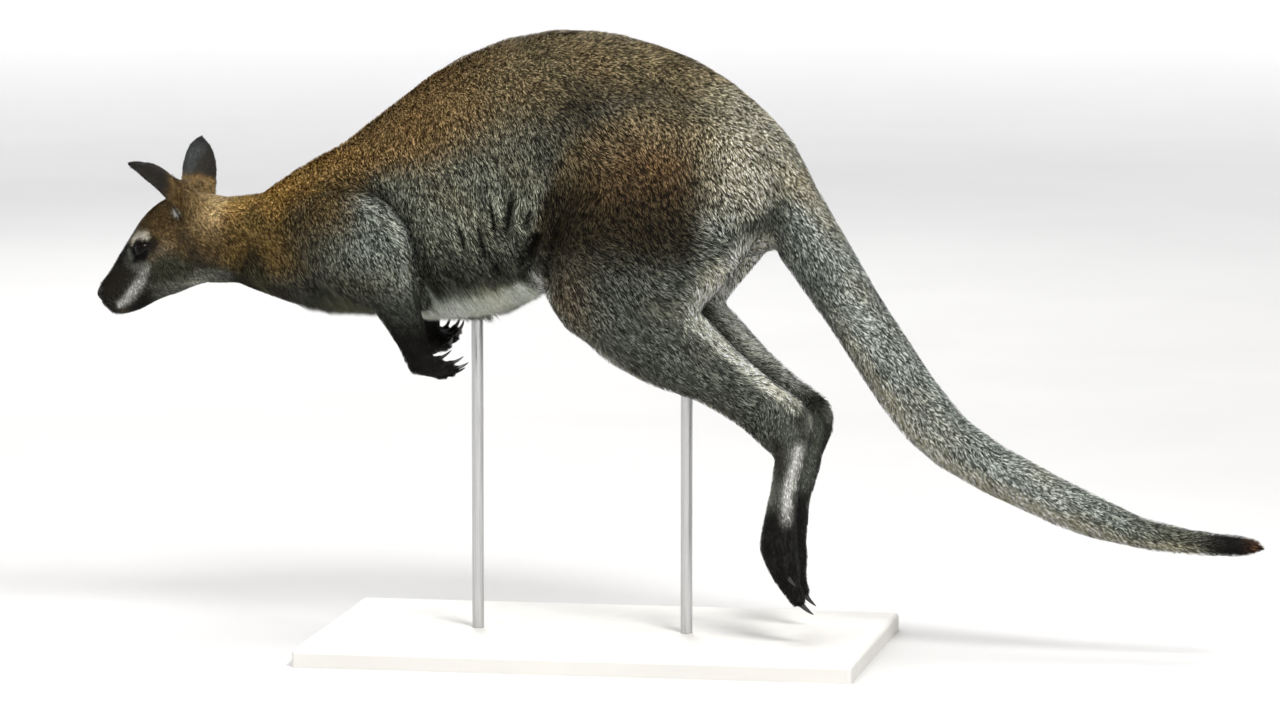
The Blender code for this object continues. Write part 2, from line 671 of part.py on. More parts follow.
def cut_off(obj, name, point, normal):
    """Parts the side that the normal points to as a new object, leaving a thin gap."""
    point = Vector(point)
    normal = Vector(normal).normalized()
    made = copy_of(obj, name)
    made.data = sliced(obj.data, point + normal * GAP / 2, -normal)
    obj.data = sliced(obj.data, point - normal * GAP / 2, normal)
    return made


def finish(obj, name, paint, collection):
    """Names a finished piece, gives it its material and puts it in the collection."""
    obj.name = name
    obj.data.name = name
    obj.data.materials.clear()
    obj.data.materials.append(material(paint))
    for polygon in obj.data.polygons:
        polygon.material_index = 0
    obj.data.shade_smooth()
    obj.data.set_sharp_from_angle(angle=math.radians(50))
    for holder in list(obj.users_collection):
        holder.objects.unlink(obj)
    collection.objects.link(obj)


# Outlines of haunch and shoulder on the flank, as y and z
HAUNCH = [(-0.068, 0.330), (-0.060, 0.400), (-0.046, 0.460), (-0.018, 0.520), (0.040, 0.560),
          (0.110, 0.565), (0.170, 0.540), (0.205, 0.500), (0.195, 0.430), (0.180, 0.385),
          (0.220, 0.330), (0.262, 0.250), (0.262, 0.100), (0.255, -0.050), (0.100, -0.060),
          (0.000, 0.100), (-0.070, 0.240)]
HAUNCH_INNER = (0.004, 0.36, 0.372)     # least x, slope outwards, height where it starts
SHOULDER = [(-0.232, 0.320), (-0.262, 0.372), (-0.292, 0.408), (-0.290, 0.448),
            (-0.250, 0.468), (-0.205, 0.452), (-0.178, 0.412), (-0.168, 0.364),
            (-0.163, 0.340), (-0.157, 0.322), (-0.120, 0.306), (-0.070, 0.230),
            (-0.200, 0.220)]
SHOULDER_INNER = (0.038, 0.10, 0.360)
OUTLINE_STEPS = 2


def part_legs(body, parts, cutters):
    for side, label in ((1, "left"), (-1, "right")):
        leg = lift_out(body, "leg_" + label, HAUNCH, HAUNCH_INNER, side * 0.20, cutters)
        shift = Vector((0, 0, 0)) if side > 0 else Vector(RIGHT_LEG_SHIFT)
        knee = Vector((side * 0.072, 0.036, 0.345)) + shift
        shin = cut_off(leg, "shin", knee, (0, 0.62, -0.78))
        ankle = Vector((side * 0.056, 0.197, 0.240)) + shift
        foot = cut_off(shin, "foot", ankle, (0, 0.60, -0.80))
        parts["thigh_" + label] = (leg, "coat_brown")
        parts["shin_" + label] = (shin, "coat_grey")
        parts["foot_" + label] = (foot, "coat_black")


def part_arms(body, parts, cutters):
    for side, label in ((1, "left"), (-1, "right")):
        arm = lift_out(body, "arm_" + label, SHOULDER, SHOULDER_INNER, side * 0.16, cutters)
        elbow = (side * 0.076, -0.200, 0.362)
        forearm = cut_off(arm, "forearm", elbow, (0, 0.25, -0.97))
        hand_frame = LEFT_HAND if side > 0 else RIGHT_HAND
        wrist_normal = Vector(hand_frame[1]) + Vector((0, 0, -0.5))
        hand = cut_off(forearm, "hand", hand_frame[0], wrist_normal)
        join_fingers(hand, hand_frame, side, cutters)
        parts["upper_arm_" + label] = (arm, "coat_grey")
        parts["forearm_" + label] = (forearm, "coat_black")
        parts["hand_" + label] = (hand, "coat_black")


# Planes that part the trunk and tail from front to back: name of what lies behind the
# plane, y and z of a point on it, its normal, and the paint of that piece
TRUNK_CUTS = [
    ("neck", (-0.383, 0.408), (1.00, 0.06), "coat_rufous"),
    ("chest", (-0.322, 0.408), (0.98, 0.20), "coat_grey"),
    ("belly", (-0.130, 0.460), (0.97, 0.22), "coat_brown"),
    ("rump", (0.030, 0.500), (1.00, -0.02), "coat_brown"),
    ("tail_1", (0.190, 0.445), (0.66, -0.75), "coat_grey"),
    ("tail_2", (0.270, 0.330), (0.54, -0.84), "coat_grey"),
    ("tail_3", (0.347, 0.225), (0.74, -0.67), "coat_grey"),
    ("tail_4", (0.462, 0.160), (0.91, -0.41), "coat_grey"),
    ("tail_5", (0.585, 0.120), (0.99, -0.15), "coat_black"),
]


def part_trunk(body, parts):
    parts["head"] = (body, "coat_brown")
    rest = body
    for name, (y, z), (away_y, away_z), paint in TRUNK_CUTS:
        rest = cut_off(rest, name, (0, y, z), (0, away_y, away_z))
        parts[name] = (rest, paint)


def add_ears(head, parts, cutters):
    for label, ear in (("left", LEFT_EAR), ("right", RIGHT_EAR)):
        point, tip = ear_plane(ear)
        head.data = sliced(head.data, point - tip * GAP / 2, tip)
        obj = build_ear("ear_" + label, ear, EAR_THICKNESS, cutters)
        obj.data = sliced(obj.data, point + tip * GAP / 2, -tip)
        parts["ear_" + label] = (obj, "coat_black")


def add_claw(bm, root, along, bend, length, radius, swell=0.0):
    """A curved pointed claw that starts inside the toe, or the same one swelled all round."""
    stations = []
    for share in np.linspace(0, 1, 4):
        point = Vector(root) + Vector(along) * length * share
        point += Vector(bend) * length * 0.30 * share ** 2
        size = radius * (1 - share) ** 0.75 + 0.00045 + swell
        stations.append((*point, size * 0.8, size))
    if swell:
        stations[0] = (*(Vector(root) - Vector(along) * swell), *stations[0][3:])
    add_tube(bm, stations, 5, Vector(along).cross(Vector(bend)), 1)
    bmesh.ops.recalc_face_normals(bm, faces=bm.faces)


def claw_list():
    """Name, toe it grows from, root, direction, bend, length and radius of every claw."""
    found = []
    for label, hand, side in (("left", LEFT_HAND, 1), ("right", RIGHT_HAND, -1)):
        palm_down = -(frame(*hand).to_3x3() @ Vector((0, 0, 1)))
        for index in range(5):
            points, along = finger_line(index, hand, side)
            bend = (palm_down - along * palm_down.dot(along)).normalized()
            root = points[2] - along * 0.0025
            found.append((f"claw_hand_{label}_{index + 1}", "hand_" + label, root, along,
                          bend, HAND_CLAW, HAND_CLAW_RADIUS))
    toes = (
        ("fourth", FOOT, 0.0, 0.0225, 0.0046),
        ("fifth", OUTER_TOE, 0.0, 0.0150, 0.0028),
        ("second", INNER_TOES, -0.0022, 0.0105, 0.0015),
        ("third", INNER_TOES, 0.0022, 0.0105, 0.0015),
    )
    for side, label in ((1, "left"), (-1, "right")):
        for name, stations, aside, length, radius in toes:
            ends = stations[-2:] if side > 0 else right_foot(stations[-2:])
            start, end = (Vector((x + side * aside, (y1 + y2) / 2, (z1 + z2) / 2))
                          for x, y1, z1, y2, z2, *_ in ends)
            along = (end - start).normalized()
            bend = Vector((0, 1, 0)) - along * along.y
            root = end - along * length * 0.24
            found.append((f"claw_foot_{label}_{name}", "foot_" + label, root, along,
                          bend.normalized(), length, radius))
    return found


def add_claws(parts, cutters):
    for name, toe, root, along, bend, length, radius in claw_list():
        bm = bmesh.new()
        add_claw(bm, root, along, bend, length, radius)
        claw = new_object(name, bm, cutters)
        bm = bmesh.new()
        add_claw(bm, root, along, bend, length, radius, GAP)
        socket = new_object(name + "_socket", bm, cutters)
        socket.hide_render = True
        socket.display_type = "WIRE"
        boolean(parts[toe][0], socket, "DIFFERENCE")
        keep_largest(parts[toe][0])
        parts[name] = (claw, "claw")


def add_eyes(parts, cutters):
    x, y, z = EYE_CENTRE
    for side, label in ((1, "left"), (-1, "right")):
        place = Matrix.Translation((side * x, y, z)) @ Matrix.Rotation(math.pi / 2, 4, "Y")
        bm = bmesh.new()
        bmesh.ops.create_uvsphere(bm, u_segments=12, v_segments=8, radius=EYE_RADIUS,
                                  matrix=place)
        eye = new_object("eye_" + label, bm, cutters)
        bm = bmesh.new()
        bmesh.ops.create_uvsphere(bm, u_segments=12, v_segments=8, radius=EYE_RADIUS + GAP,
                                  matrix=place)
        socket = new_object("eye_socket_" + label, bm, cutters)
        socket.hide_render = True
        socket.display_type = "WIRE"
        boolean(parts["head"][0], socket, "DIFFERENCE")
        keep_largest(parts["head"][0])
        parts["eye_" + label] = (eye, "eye")


def cylinder(name, radius, y, low, high, collection):
    bm = bmesh.new()
    place = Matrix.Translation((0, y, (low + high) / 2))
    bmesh.ops.create_cone(bm, segments=18, radius1=radius, radius2=radius,
                          depth=high - low, cap_ends=True, matrix=place)
    return new_object(name, bm, collection)


def add_stand(parts, cutters):
    bm = bmesh.new()
    size = Matrix.Diagonal((BASE_WIDTH, BASE_LENGTH, BASE_HEIGHT, 1))
    bmesh.ops.create_cube(bm, size=1, matrix=Matrix.Translation((0, 0, BASE_HEIGHT / 2)) @ size)
    rims = [edge for edge in bm.edges
            if min(vert.co.z for vert in edge.verts) > BASE_HEIGHT * 0.5
            or abs(edge.verts[0].co.z - edge.verts[1].co.z) > BASE_HEIGHT * 0.5]
    bmesh.ops.bevel(bm, geom=rims, offset=BASE_ROUND, segments=3, profile=0.5,
                    affect="EDGES")
    parts["stand_base"] = (new_object("base", bm, cutters), "stand_board")
    rods = (("front", ROD_FRONT_Y, ROD_FRONT_TOP, "chest"),
            ("rear", ROD_REAR_Y, ROD_REAR_TOP, "rump"))
    for label, y, top, holder in rods:
        rod = cylinder("rod_" + label, ROD_RADIUS, y, BASE_HEIGHT + GAP, top, cutters)
        hole = cylinder("rod_hole_" + label, ROD_RADIUS + GAP, y, 0.1, top + GAP, cutters)
        hole.hide_render = True
        hole.display_type = "WIRE"
        boolean(parts[holder][0], hole, "DIFFERENCE")
        parts["stand_rod_" + label] = (rod, "stand_rod")


def main():
    clear_scene()
    scene = bpy.context.scene
    scene.unit_settings.system = "METRIC"
    shown = bpy.data.collections.new(COLLECTION)
    cutters = bpy.data.collections.new("cutters")
    scene.collection.children.link(shown)
    scene.collection.children.link(cutters)
    body = build_body(cutters)
    parts = {}
    part_legs(body, parts, cutters)
    part_arms(body, parts, cutters)
    part_trunk(body, parts)
    add_ears(body, parts, cutters)
    add_eyes(parts, cutters)
    add_claws(parts, cutters)
    add_stand(parts, cutters)
    for name, (obj, paint) in parts.items():
        finish(obj, name, paint, shown)


main()
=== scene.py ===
"""Looks of the red-necked wallaby: skin, coat, eyes, claws, whiskers, stand and studio.

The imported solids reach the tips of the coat. One skin is made from the solids of flesh and
drawn in by the depth of the coat, and short tufts of hair stand on it. Skin and coat take
their colours from the same function of place on the body.
"""

import math

import bmesh
import bpy
import numpy as np
from mathutils import Matrix, Vector, kdtree


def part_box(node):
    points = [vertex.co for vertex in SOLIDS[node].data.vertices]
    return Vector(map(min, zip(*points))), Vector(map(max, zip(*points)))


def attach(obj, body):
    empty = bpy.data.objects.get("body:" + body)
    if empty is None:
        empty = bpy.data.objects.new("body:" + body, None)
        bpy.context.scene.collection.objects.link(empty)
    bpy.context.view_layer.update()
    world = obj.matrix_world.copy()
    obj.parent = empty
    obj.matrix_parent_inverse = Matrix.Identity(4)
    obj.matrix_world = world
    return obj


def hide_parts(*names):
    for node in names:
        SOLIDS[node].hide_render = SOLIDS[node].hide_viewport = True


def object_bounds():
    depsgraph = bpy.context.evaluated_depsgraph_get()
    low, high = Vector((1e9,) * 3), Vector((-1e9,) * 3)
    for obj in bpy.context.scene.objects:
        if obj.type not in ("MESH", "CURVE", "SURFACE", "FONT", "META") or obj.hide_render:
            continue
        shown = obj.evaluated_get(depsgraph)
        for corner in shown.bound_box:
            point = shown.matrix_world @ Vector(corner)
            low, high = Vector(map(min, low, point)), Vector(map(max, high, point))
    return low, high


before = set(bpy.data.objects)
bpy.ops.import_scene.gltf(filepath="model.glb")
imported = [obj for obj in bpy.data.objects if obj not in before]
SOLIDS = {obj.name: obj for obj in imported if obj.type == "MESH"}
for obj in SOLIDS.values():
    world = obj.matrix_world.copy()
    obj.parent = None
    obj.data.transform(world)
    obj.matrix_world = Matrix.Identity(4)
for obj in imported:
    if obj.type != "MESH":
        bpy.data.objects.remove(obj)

CAD_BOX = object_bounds()
FLESH = [name for name in SOLIDS if not name.startswith(("claw_", "eye_", "stand_"))]

# -------- places on the body


def middle(node):
    low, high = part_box(node)
    return np.array((low + high) / 2)


def corners(node):
    return np.array([vert.co for vert in SOLIDS[node].data.vertices])


NOSE = np.array((0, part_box("head")[0].y, 0.349))     # front of the nose pad
EYE = middle("eye_left")
EYE_RADIUS = (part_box("eye_left")[1].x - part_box("eye_left")[0].x) / 2
EAR_ROOTS = [(0.026, -0.425, 0.443), (0.027, -0.416, 0.444)]

# -------- arrays and falloffs


def step(value, low, high):
    """0 at low and 1 at high, with a soft start and end."""
    share = np.clip((value - low) / (high - low), 0, 1)
    return share * share * (3 - 2 * share)


def bell(away, width):
    return np.exp(-(away / width) ** 2)


def mirrored(points):
    """The points, with those of the right side moved to the left."""
    return np.column_stack([np.abs(points[:, 0]), points[:, 1:]])


def spot(points, centre, radii):
    """1 at a centre, fading out as a bell over the radii. It counts on both sides."""
    away = (mirrored(points) - np.array(centre)) / np.array(radii)
    return np.exp(-np.sum(away ** 2, axis=1))


def beside(points, line):
    """Distance of each point to a line through the given points, and the share along it.
    A line of y and z is seen from the side: its distance is above 0 to the left of someone
    who walks the line, seen from the animal's left."""
    line = np.array(line, float)
    points = points[:, -line.shape[1]:]
    reached = np.concatenate([[0], np.cumsum(np.linalg.norm(np.diff(line, axis=0), axis=1))])
    best = np.full(len(points), 1e9)
    share = np.zeros(len(points))
    sign = np.ones(len(points))
    for start, end, before, after in zip(line, line[1:], reached, reached[1:]):
        run = end - start
        offset = points - start
        along = np.clip(offset @ run / (run @ run), 0, 1)
        away = np.linalg.norm(offset - along[:, None] * run, axis=1)
        nearer = away < best
        best = np.where(nearer, away, best)
        share = np.where(nearer, (before + along * (after - before)) / reached[-1], share)
        if len(run) == 2:
            cross = run[0] * offset[:, 1] - run[1] * offset[:, 0]
            sign = np.where(nearer, np.sign(cross), sign)
    return best * sign, share


def wander(points, wavelength, seed):
    """Smooth noise over space: a vector at each point, about one long."""
    rng = np.random.default_rng(seed)
    total = np.zeros((len(points), 3))
    waves = 8
    for _ in range(waves):
        direction = rng.normal(size=3)
        direction *= 2 * math.pi / wavelength / np.linalg.norm(direction)
        total += np.outer(np.sin(points @ direction + rng.uniform(0, 7)), rng.normal(size=3))
    return total / math.sqrt(waves)


def speckle(points, size, seed):
    """Noise from -1 to 1 that changes over the size and never repeats in rows."""
    rng = np.random.default_rng(seed)
    table = rng.uniform(-1, 1, 4096)
    turn = np.linalg.qr(rng.normal(size=(3, 3)))[0]
    places = points @ turn / size
    cell = np.floor(places).astype(np.int64)
    part = places - cell
    part = part * part * (3 - 2 * part)
    total = np.zeros(len(points))
    for corner in np.ndindex(2, 2, 2):
        weight = np.prod(np.where(np.array(corner), part, 1 - part), axis=1)
        key = (cell + corner) @ np.array((73856093, 19349663, 83492791))
        total += weight * table[(key ^ (key >> 13)) % len(table)]
    return total


def over(values, other, share):
    """Lays other values over the first ones in place, by their share at each point."""
    values += (np.asarray(other) - values) * share[:, None]


def unit(vectors):
    return vectors / np.maximum(np.linalg.norm(vectors, axis=1), 1e-9)[:, None]


def flattened(vectors, normals):
    """The vectors without what they have along the normals."""
    return vectors - normals * np.sum(vectors * normals, axis=1)[:, None]


# -------- meshes

SPRING_BACK = 0.98      # share of each round of smoothing that is given back
CUT_SWELL = 0.00025     # swells each solid so that the cuts between them close


def read(items, field, width, kind=float):
    values = np.empty(len(items) * width, kind)
    items.foreach_get(field, values)
    return values.reshape(-1, width)


def write(items, field, values, kind=np.float32):
    items.foreach_set(field, np.asarray(values).astype(kind).ravel())


def mesh_of(name, bm):
    """A mesh made of the bmesh, which is freed."""
    mesh = bpy.data.meshes.new(name)
    bm.to_mesh(mesh)
    bm.free()
    return mesh


def smooth_faces(mesh):
    write(mesh.polygons, "use_smooth", np.ones(len(mesh.polygons)), bool)


def new_object(name, mesh):
    obj = bpy.data.objects.new(name, mesh)
    bpy.context.scene.collection.objects.link(obj)
    return obj


def applied(obj):
    """Replaces an object's mesh by the result of its modifiers."""
    graph = bpy.context.evaluated_depsgraph_get()
    made = bpy.data.meshes.new_from_object(obj.evaluated_get(graph))
    obj.modifiers.clear()
    obj.data = made
    return obj


def swelled(nodes):
    """The solids of the nodes, each swelled a little, in one bmesh."""
    whole = bmesh.new()
    for node in nodes:
        bm = bmesh.new()
        bm.from_mesh(SOLIDS[node].data)
        bmesh.ops.remove_doubles(bm, verts=bm.verts, dist=1e-5)
        bm.normal_update()
        for vert in bm.verts:
            vert.co += vert.normal * CUT_SWELL
        mesh = mesh_of(node + "_swelled", bm)
        whole.from_mesh(mesh)
        bpy.data.meshes.remove(mesh)
    return whole


class Surface:
    """A mesh as arrays, so that its points can be moved and averaged together."""

    def __init__(self, obj):
        self.obj = obj
        self.points = read(obj.data.vertices, "co", 3)
        self.edges = read(obj.data.edges, "vertices", 2, np.int32)
        self.degree = np.bincount(self.edges.ravel(), minlength=len(self.points))

    def averaged(self, values, rounds, share=None):
        """The values mixed with their neighbours', and less so where the share is low."""
        first, second = self.edges[:, 0], self.edges[:, 1]
        count = np.maximum(self.degree, 1)
        values = values.reshape(len(self.points), -1).astype(float)
        for _ in range(rounds):
            for column in range(values.shape[1]):
                one = values[:, column]
                total = np.bincount(first, one[second], len(one))
                total += np.bincount(second, one[first], len(one))
                move = total / count - one
                values[:, column] = one + 0.5 * move * (1 if share is None else share)
        return values

    def smoothed(self, rounds, share):
        """Evens out the facets without drawing the thin parts in."""
        for _ in range(rounds):
            self.points = self.averaged(self.points, 1, share)
            self.points = self.averaged(self.points, 1, -SPRING_BACK * share)

    def normals(self):
        self.write()
        return read(self.obj.data.vertices, "normal", 3)

    def write(self):
        write(self.obj.data.vertices, "co", self.points)
        self.obj.data.update()


def nearest_nodes(points):
    """For every point, the index in FLESH of the solid whose surface is nearest."""
    places = []
    owners = []
    for index, name in enumerate(FLESH):
        mesh = SOLIDS[name].data
        for face in mesh.polygons:
            places.append(face.center)
            owners.append(index)
            for vertex in face.vertices:
                places.append((mesh.vertices[vertex].co + Vector(face.center)) / 2)
                owners.append(index)
    tree = kdtree.KDTree(len(places))
    for index, place in enumerate(places):
        tree.insert(place, index)
    tree.balance()
    return np.array([owners[tree.find(point)[1]] for point in points])


# -------- parts of the body

# By the first part of a solid's name. Skin: how far the coat stands off it, how many rounds
# smooth the solid's facets, and the share of fine mesh. Coat: tufts per square millimetre of
# skin, length, half width at the root, how far the tip stands off as a share of the coat's
# depth, and the contrast of light and dark hairs.
COLUMNS = ("depth", "rounds", "detail", "density", "length", "width", "stand", "contrast")
PARTS = {
    "head": (0.0018, 10, 0.85, 1.5, 0.0046, 0.00027, 1.0, 0.75),
    "ear": (0.0006, 3, 0.8, 1.3, 0.0034, 0.00026, 1.0, 0.35),
    "neck": (0.0036, 50, 0.25, 1.08, 0.0064, 0.00034, 1.05, 0.95),
    "chest": (0.0042, 60, 0.0, 0.88, 0.0066, 0.00037, 1.05, 1.15),
    "belly": (0.0048, 60, 0.0, 0.88, 0.007, 0.00038, 1.05, 1.15),
    "rump": (0.0042, 60, 0.15, 0.9, 0.0064, 0.00036, 1.0, 1.1),
    "tail": (0.003, 30, 0.2, 0.95, 0.0058, 0.00035, 1.05, 1.0),
    "thigh": (0.0042, 60, 0.0, 0.88, 0.0066, 0.00036, 1.0, 1.6),
    "shin": (0.0026, 36, 0.3, 0.92, 0.006, 0.00035, 1.0, 1.3),
    "foot": (0.0014, 8, 0.5, 1.15, 0.0052, 0.00035, 1.0, 0.6),
    "upper": (0.0032, 40, 0.1, 0.92, 0.0062, 0.00035, 1.0, 1.3),
    "forearm": (0.0022, 20, 0.2, 1.05, 0.0052, 0.00034, 1.0, 0.9),
    "hand": (0.0009, 3, 0.9, 1.3, 0.0036, 0.0003, 1.0, 0.4),
}


def by_part(labels, column):
    """One column of PARTS for every point."""
    place = COLUMNS.index(column)
    return np.array([PARTS[name.split("_")[0]][place] for name in FLESH], float)[labels]


def named(labels, *starts):
    """1 for the points of the solids whose names start so, and 0 for the others."""
    return np.array([name.startswith(starts) for name in FLESH], float)[labels]


# -------- skin

VOXEL = 0.0016              # grid on which the solids are joined
SKIN_TRIANGLES = 168000
SOFT_EDGE = 12              # rounds that blend one solid's values into the next one's
ROUND_SPOT = (0.02, 0.02, 0.02)
# Where the faces are split for finer shapes: the centre, and how far round it
REFINED = [(EYE, 0.0165), (EYE, 0.0125), (NOSE + (0.006, 0.01, -0.006), 0.026)]


def joined_solids():
    whole = swelled(FLESH)
    for side in (1, -1):
        place = Matrix.Translation((side * EYE[0], EYE[1], EYE[2]))
        bmesh.ops.create_uvsphere(whole, u_segments=32, v_segments=20, radius=EYE_RADIUS,
                                  matrix=place)
    obj = new_object("skin", mesh_of("skin", whole))
    remesh = obj.modifiers.new("join", "REMESH")
    remesh.mode = "VOXEL"
    remesh.voxel_size = VOXEL
    return applied(obj)


def thinned(obj, detail):
    """Fewer triangles, small where the detail is near 1 and even in size elsewhere."""
    group = obj.vertex_groups.new(name="plain")
    level = np.round((1 - detail) * 10).astype(int)
    for value in range(11):
        group.add(np.flatnonzero(level == value).tolist(), 0.1 + 0.07 * value, "REPLACE")
    decimate = obj.modifiers.new("thin", "DECIMATE")
    decimate.ratio = SKIN_TRIANGLES / (2 * len(obj.data.polygons))
    decimate.vertex_group = "plain"
    decimate.use_collapse_triangulate = True
    applied(obj)
    obj.vertex_groups.clear()
    return obj


def refined(obj, centre, reach):
    """Splits the faces near a place on both sides, for finer shapes there."""
    bm = bmesh.new()
    bm.from_mesh(obj.data)
    edges = [edge for edge in bm.edges
             if all((Vector((abs(v.co.x), v.co.y, v.co.z)) - Vector(centre)).length < reach
                    for v in edge.verts)]
    bmesh.ops.subdivide_edges(bm, edges=edges, cuts=1, use_grid_fill=True)
    bmesh.ops.triangulate(bm, faces=[face for face in bm.faces if len(face.verts) > 4])
    bm.to_mesh(obj.data)
    bm.free()


# Eyelids: half length of the opening, and half height above and below its middle
LID_LENGTH = 0.0094
LID_ABOVE = 0.0043
LID_BELOW = 0.0037
LID_THICKNESS = 0.0009
LID_CREASE = 0.0009         # depth of the crease above the upper lid
LID_REACH = 0.0085          # how far outside the opening the skin follows the eyeball
BALL_RADIUS = EYE_RADIUS - 0.0006
BALL_GAP = 0.0004           # between the eyeball and the lids on it
UNDER_BALL = 0.0018         # how deep the skin goes in the opening, behind the ball's front
EYE_OUT = np.array((0.955, -0.235, 0.18))       # the left eye looks this way
EYE_FORWARD = np.array((-0.2, -0.84, -0.5))     # from the back corner to the front one


def eye_axes(side):
    flip = np.array((side, 1, 1))
    out = EYE_OUT * flip / np.linalg.norm(EYE_OUT)
    forward = EYE_FORWARD * flip
    forward = forward - out * (forward @ out)
    forward /= np.linalg.norm(forward)
    up = np.cross(out, forward) * -side
    return out, forward, up


def shape_lids(points, side):
    """Draws the skin over the eyeball as two lids, and in under it through the opening."""
    centre = EYE * (side, 1, 1)
    out, forward, up = eye_axes(side)
    away = points - centre
    distance = np.linalg.norm(away, axis=1)
    length, height = away @ forward, away @ up
    tall = np.where(height > 0, LID_ABOVE, LID_BELOW)
    # 1 on the rim of the almond-shaped opening, then about metres outside that rim
    almond = np.abs(length / LID_LENGTH) ** 1.6 + np.abs(height / tall) ** 1.9
    outside = (almond ** 0.58 - 1) * 0.0058
    roll = LID_THICKNESS * bell(outside - 0.0007, 0.0013)
    crease = -LID_CREASE * bell(outside - 0.0034, 0.0009) * (height > 0)
    drawn = BALL_RADIUS + BALL_GAP + roll + crease
    under = step(outside, 0.0, -0.0008)
    drawn = drawn * (1 - under) + (BALL_RADIUS - UNDER_BALL) * under
    hold = 1 - step(outside, 0.003, LID_REACH)
    hold = hold * ((away @ out) > 0) * (distance < 0.018)
    radius = distance + (drawn - distance) * hold
    return centre + away * (radius / np.maximum(distance, 1e-6))[:, None], under * hold


# Grooves of the face, each with its depth and half width
MOUTH = [(0.0, -0.51, 0.3385), (0.0085, -0.5045, 0.3352), (0.0135, -0.495, 0.3352),
         (0.017, -0.485, 0.3385), (0.0205, -0.4748, 0.344)]
NOSTRIL = [(0.0048, -0.5162, 0.3478), (0.0085, -0.513, 0.3492), (0.0112, -0.509, 0.352)]
CLEFT = [(0.0, -0.5165, 0.3455), (0.0, -0.515, 0.341), (0.0, -0.5105, 0.338)]
GROOVES = [(MOUTH, 0.0022, 0.0012), (NOSTRIL, 0.0042, 0.0017), (CLEFT, 0.0012, 0.0009)]

# Folds in the loose skin of the flank and groin, in y and z, with depth and half width
FOLDS = [
    ([(-0.0954, 0.466), (-0.0934, 0.444), (-0.0935, 0.42)], 0.009, 0.0036),
    ([(-0.0722, 0.472), (-0.0773, 0.444), (-0.085, 0.418)], 0.011, 0.0052),
    ([(-0.111, 0.443), (-0.1066, 0.418), (-0.1, 0.395)], 0.0085, 0.0034),
    ([(-0.13, 0.441), (-0.1268, 0.424), (-0.1235, 0.406)], 0.0075, 0.0028),
    ([(-0.134, 0.46), (-0.1295, 0.44)], 0.005, 0.0024),
    ([(-0.046, 0.436), (-0.055, 0.419), (-0.0605, 0.404), (-0.058, 0.388)], 0.013, 0.0072),
    ([(-0.0515, 0.458), (-0.0582, 0.443), (-0.064, 0.43)], 0.007, 0.0036),
    ([(-0.096, 0.402), (-0.0895, 0.384)], 0.0065, 0.0038),
    ([(-0.071, 0.396), (-0.0654, 0.37)], 0.006, 0.0034),
    ([(-0.119, 0.45), (-0.1177, 0.428)], 0.004, 0.0024),
]
TAIL_CREASE = ([(0.196, 0.455), (0.184, 0.43), (0.168, 0.405)], 0.006, 0.008)
# The back edge of the arm on the chest and the front edge of the thigh on the belly: what
# lies to the left of the line stands proud. Each has rise, drop and the hollow's width.
ARM_EDGE = [(-0.166, 0.338), (-0.1716, 0.358), (-0.1755, 0.379), (-0.1795, 0.408),
            (-0.186, 0.429), (-0.2026, 0.4493), (-0.2239, 0.461), (-0.248, 0.464),
            (-0.27, 0.466)]
THIGH_EDGE = [(-0.012, 0.484), (-0.02, 0.468), (-0.0262, 0.45), (-0.0337, 0.43),
              (-0.0423, 0.4), (-0.0428, 0.381), (-0.0378, 0.366)]
EDGES = [
    (ARM_EDGE, 1, 0.0035, 0.0115, 0.0125),
    (THIGH_EDGE, -1, 0.0025, 0.0095, 0.013),
]
FOLD_DEPTH = 0.75           # share of the depths that the skin takes under the coat
FOLD_LIPS = 0.3             # height of a fold's lips, as a share of its depth
GROOVE_LIPS = 0.22          # the same for the grooves of the face
DEEP_FOLD = 0.007           # a fold of this depth or more parts the coat to its roots
FOLD_SHADE = 0.86           # how much darker the parted coat is in the depth of a fold: its dark roots and painted shade
FOLD_LIGHT = 0.7            # painted light: how much paler the coat is on the lips of a fold, which catch the light
RUCK = 0.006                # breadth of the fine upright rucks in the coat of the flank
RUCK_SHADE = 0.9            # how much their painted light and shade change its brightness


def side_on(normals):
    """1 where the surface faces sideways, as only there do the folds reach it."""
    return step(np.abs(normals[:, 0]), 0.1, 0.5)


def within(share, start, end):
    """1 along a line, fading out over a share of it at its start and its end."""
    return step(share, 0.0, start) * step(1 - share, 0.0, end)


def fold_reach(points, normals, line, width):
    """How strongly a fold acts, and how strongly the soft lips beside it do."""
    away, share = beside(points, line)
    hold = within(share, 0.3, 0.3) * side_on(normals)
    return hold * bell(away, width), hold * bell(np.abs(away) - 2.1 * width, 0.9 * width)


def edge_reach(points, normals, line, side, width):
    """Shares of a point before an edge and in the hollow behind it."""
    away, share = beside(points, line)
    away = away * side
    hold = within(share, 0.1 if side > 0 else 0.5, 0.2) * side_on(normals)
    before = step(away, -0.003, 0.003)
    return hold * before * bell(away, 2.6 * width), hold * (1 - before) * bell(away, width)


def near_folds(points, normals):
    """1 where the folds need fine mesh."""
    away = np.full(len(points), 1.0)
    for line, *_ in FOLDS + EDGES:
        away = np.minimum(away, np.abs(beside(points, line)[0]))
    return step(away, 0.022, 0.012) * side_on(normals)


def folded(points, normals):
    """The body's folds and edges pressed into the skin."""
    move = np.zeros(len(points))
    for line, depth, width in FOLDS + [TAIL_CREASE]:
        near, lips = fold_reach(points, normals, line, width)
        move += FOLD_DEPTH * depth * (FOLD_LIPS * lips - near)
    for line, side, rise, drop, width in EDGES:
        proud, hollow = edge_reach(points, normals, line, side, width)
        move += rise * proud - drop * hollow
    return points + normals * move[:, None]


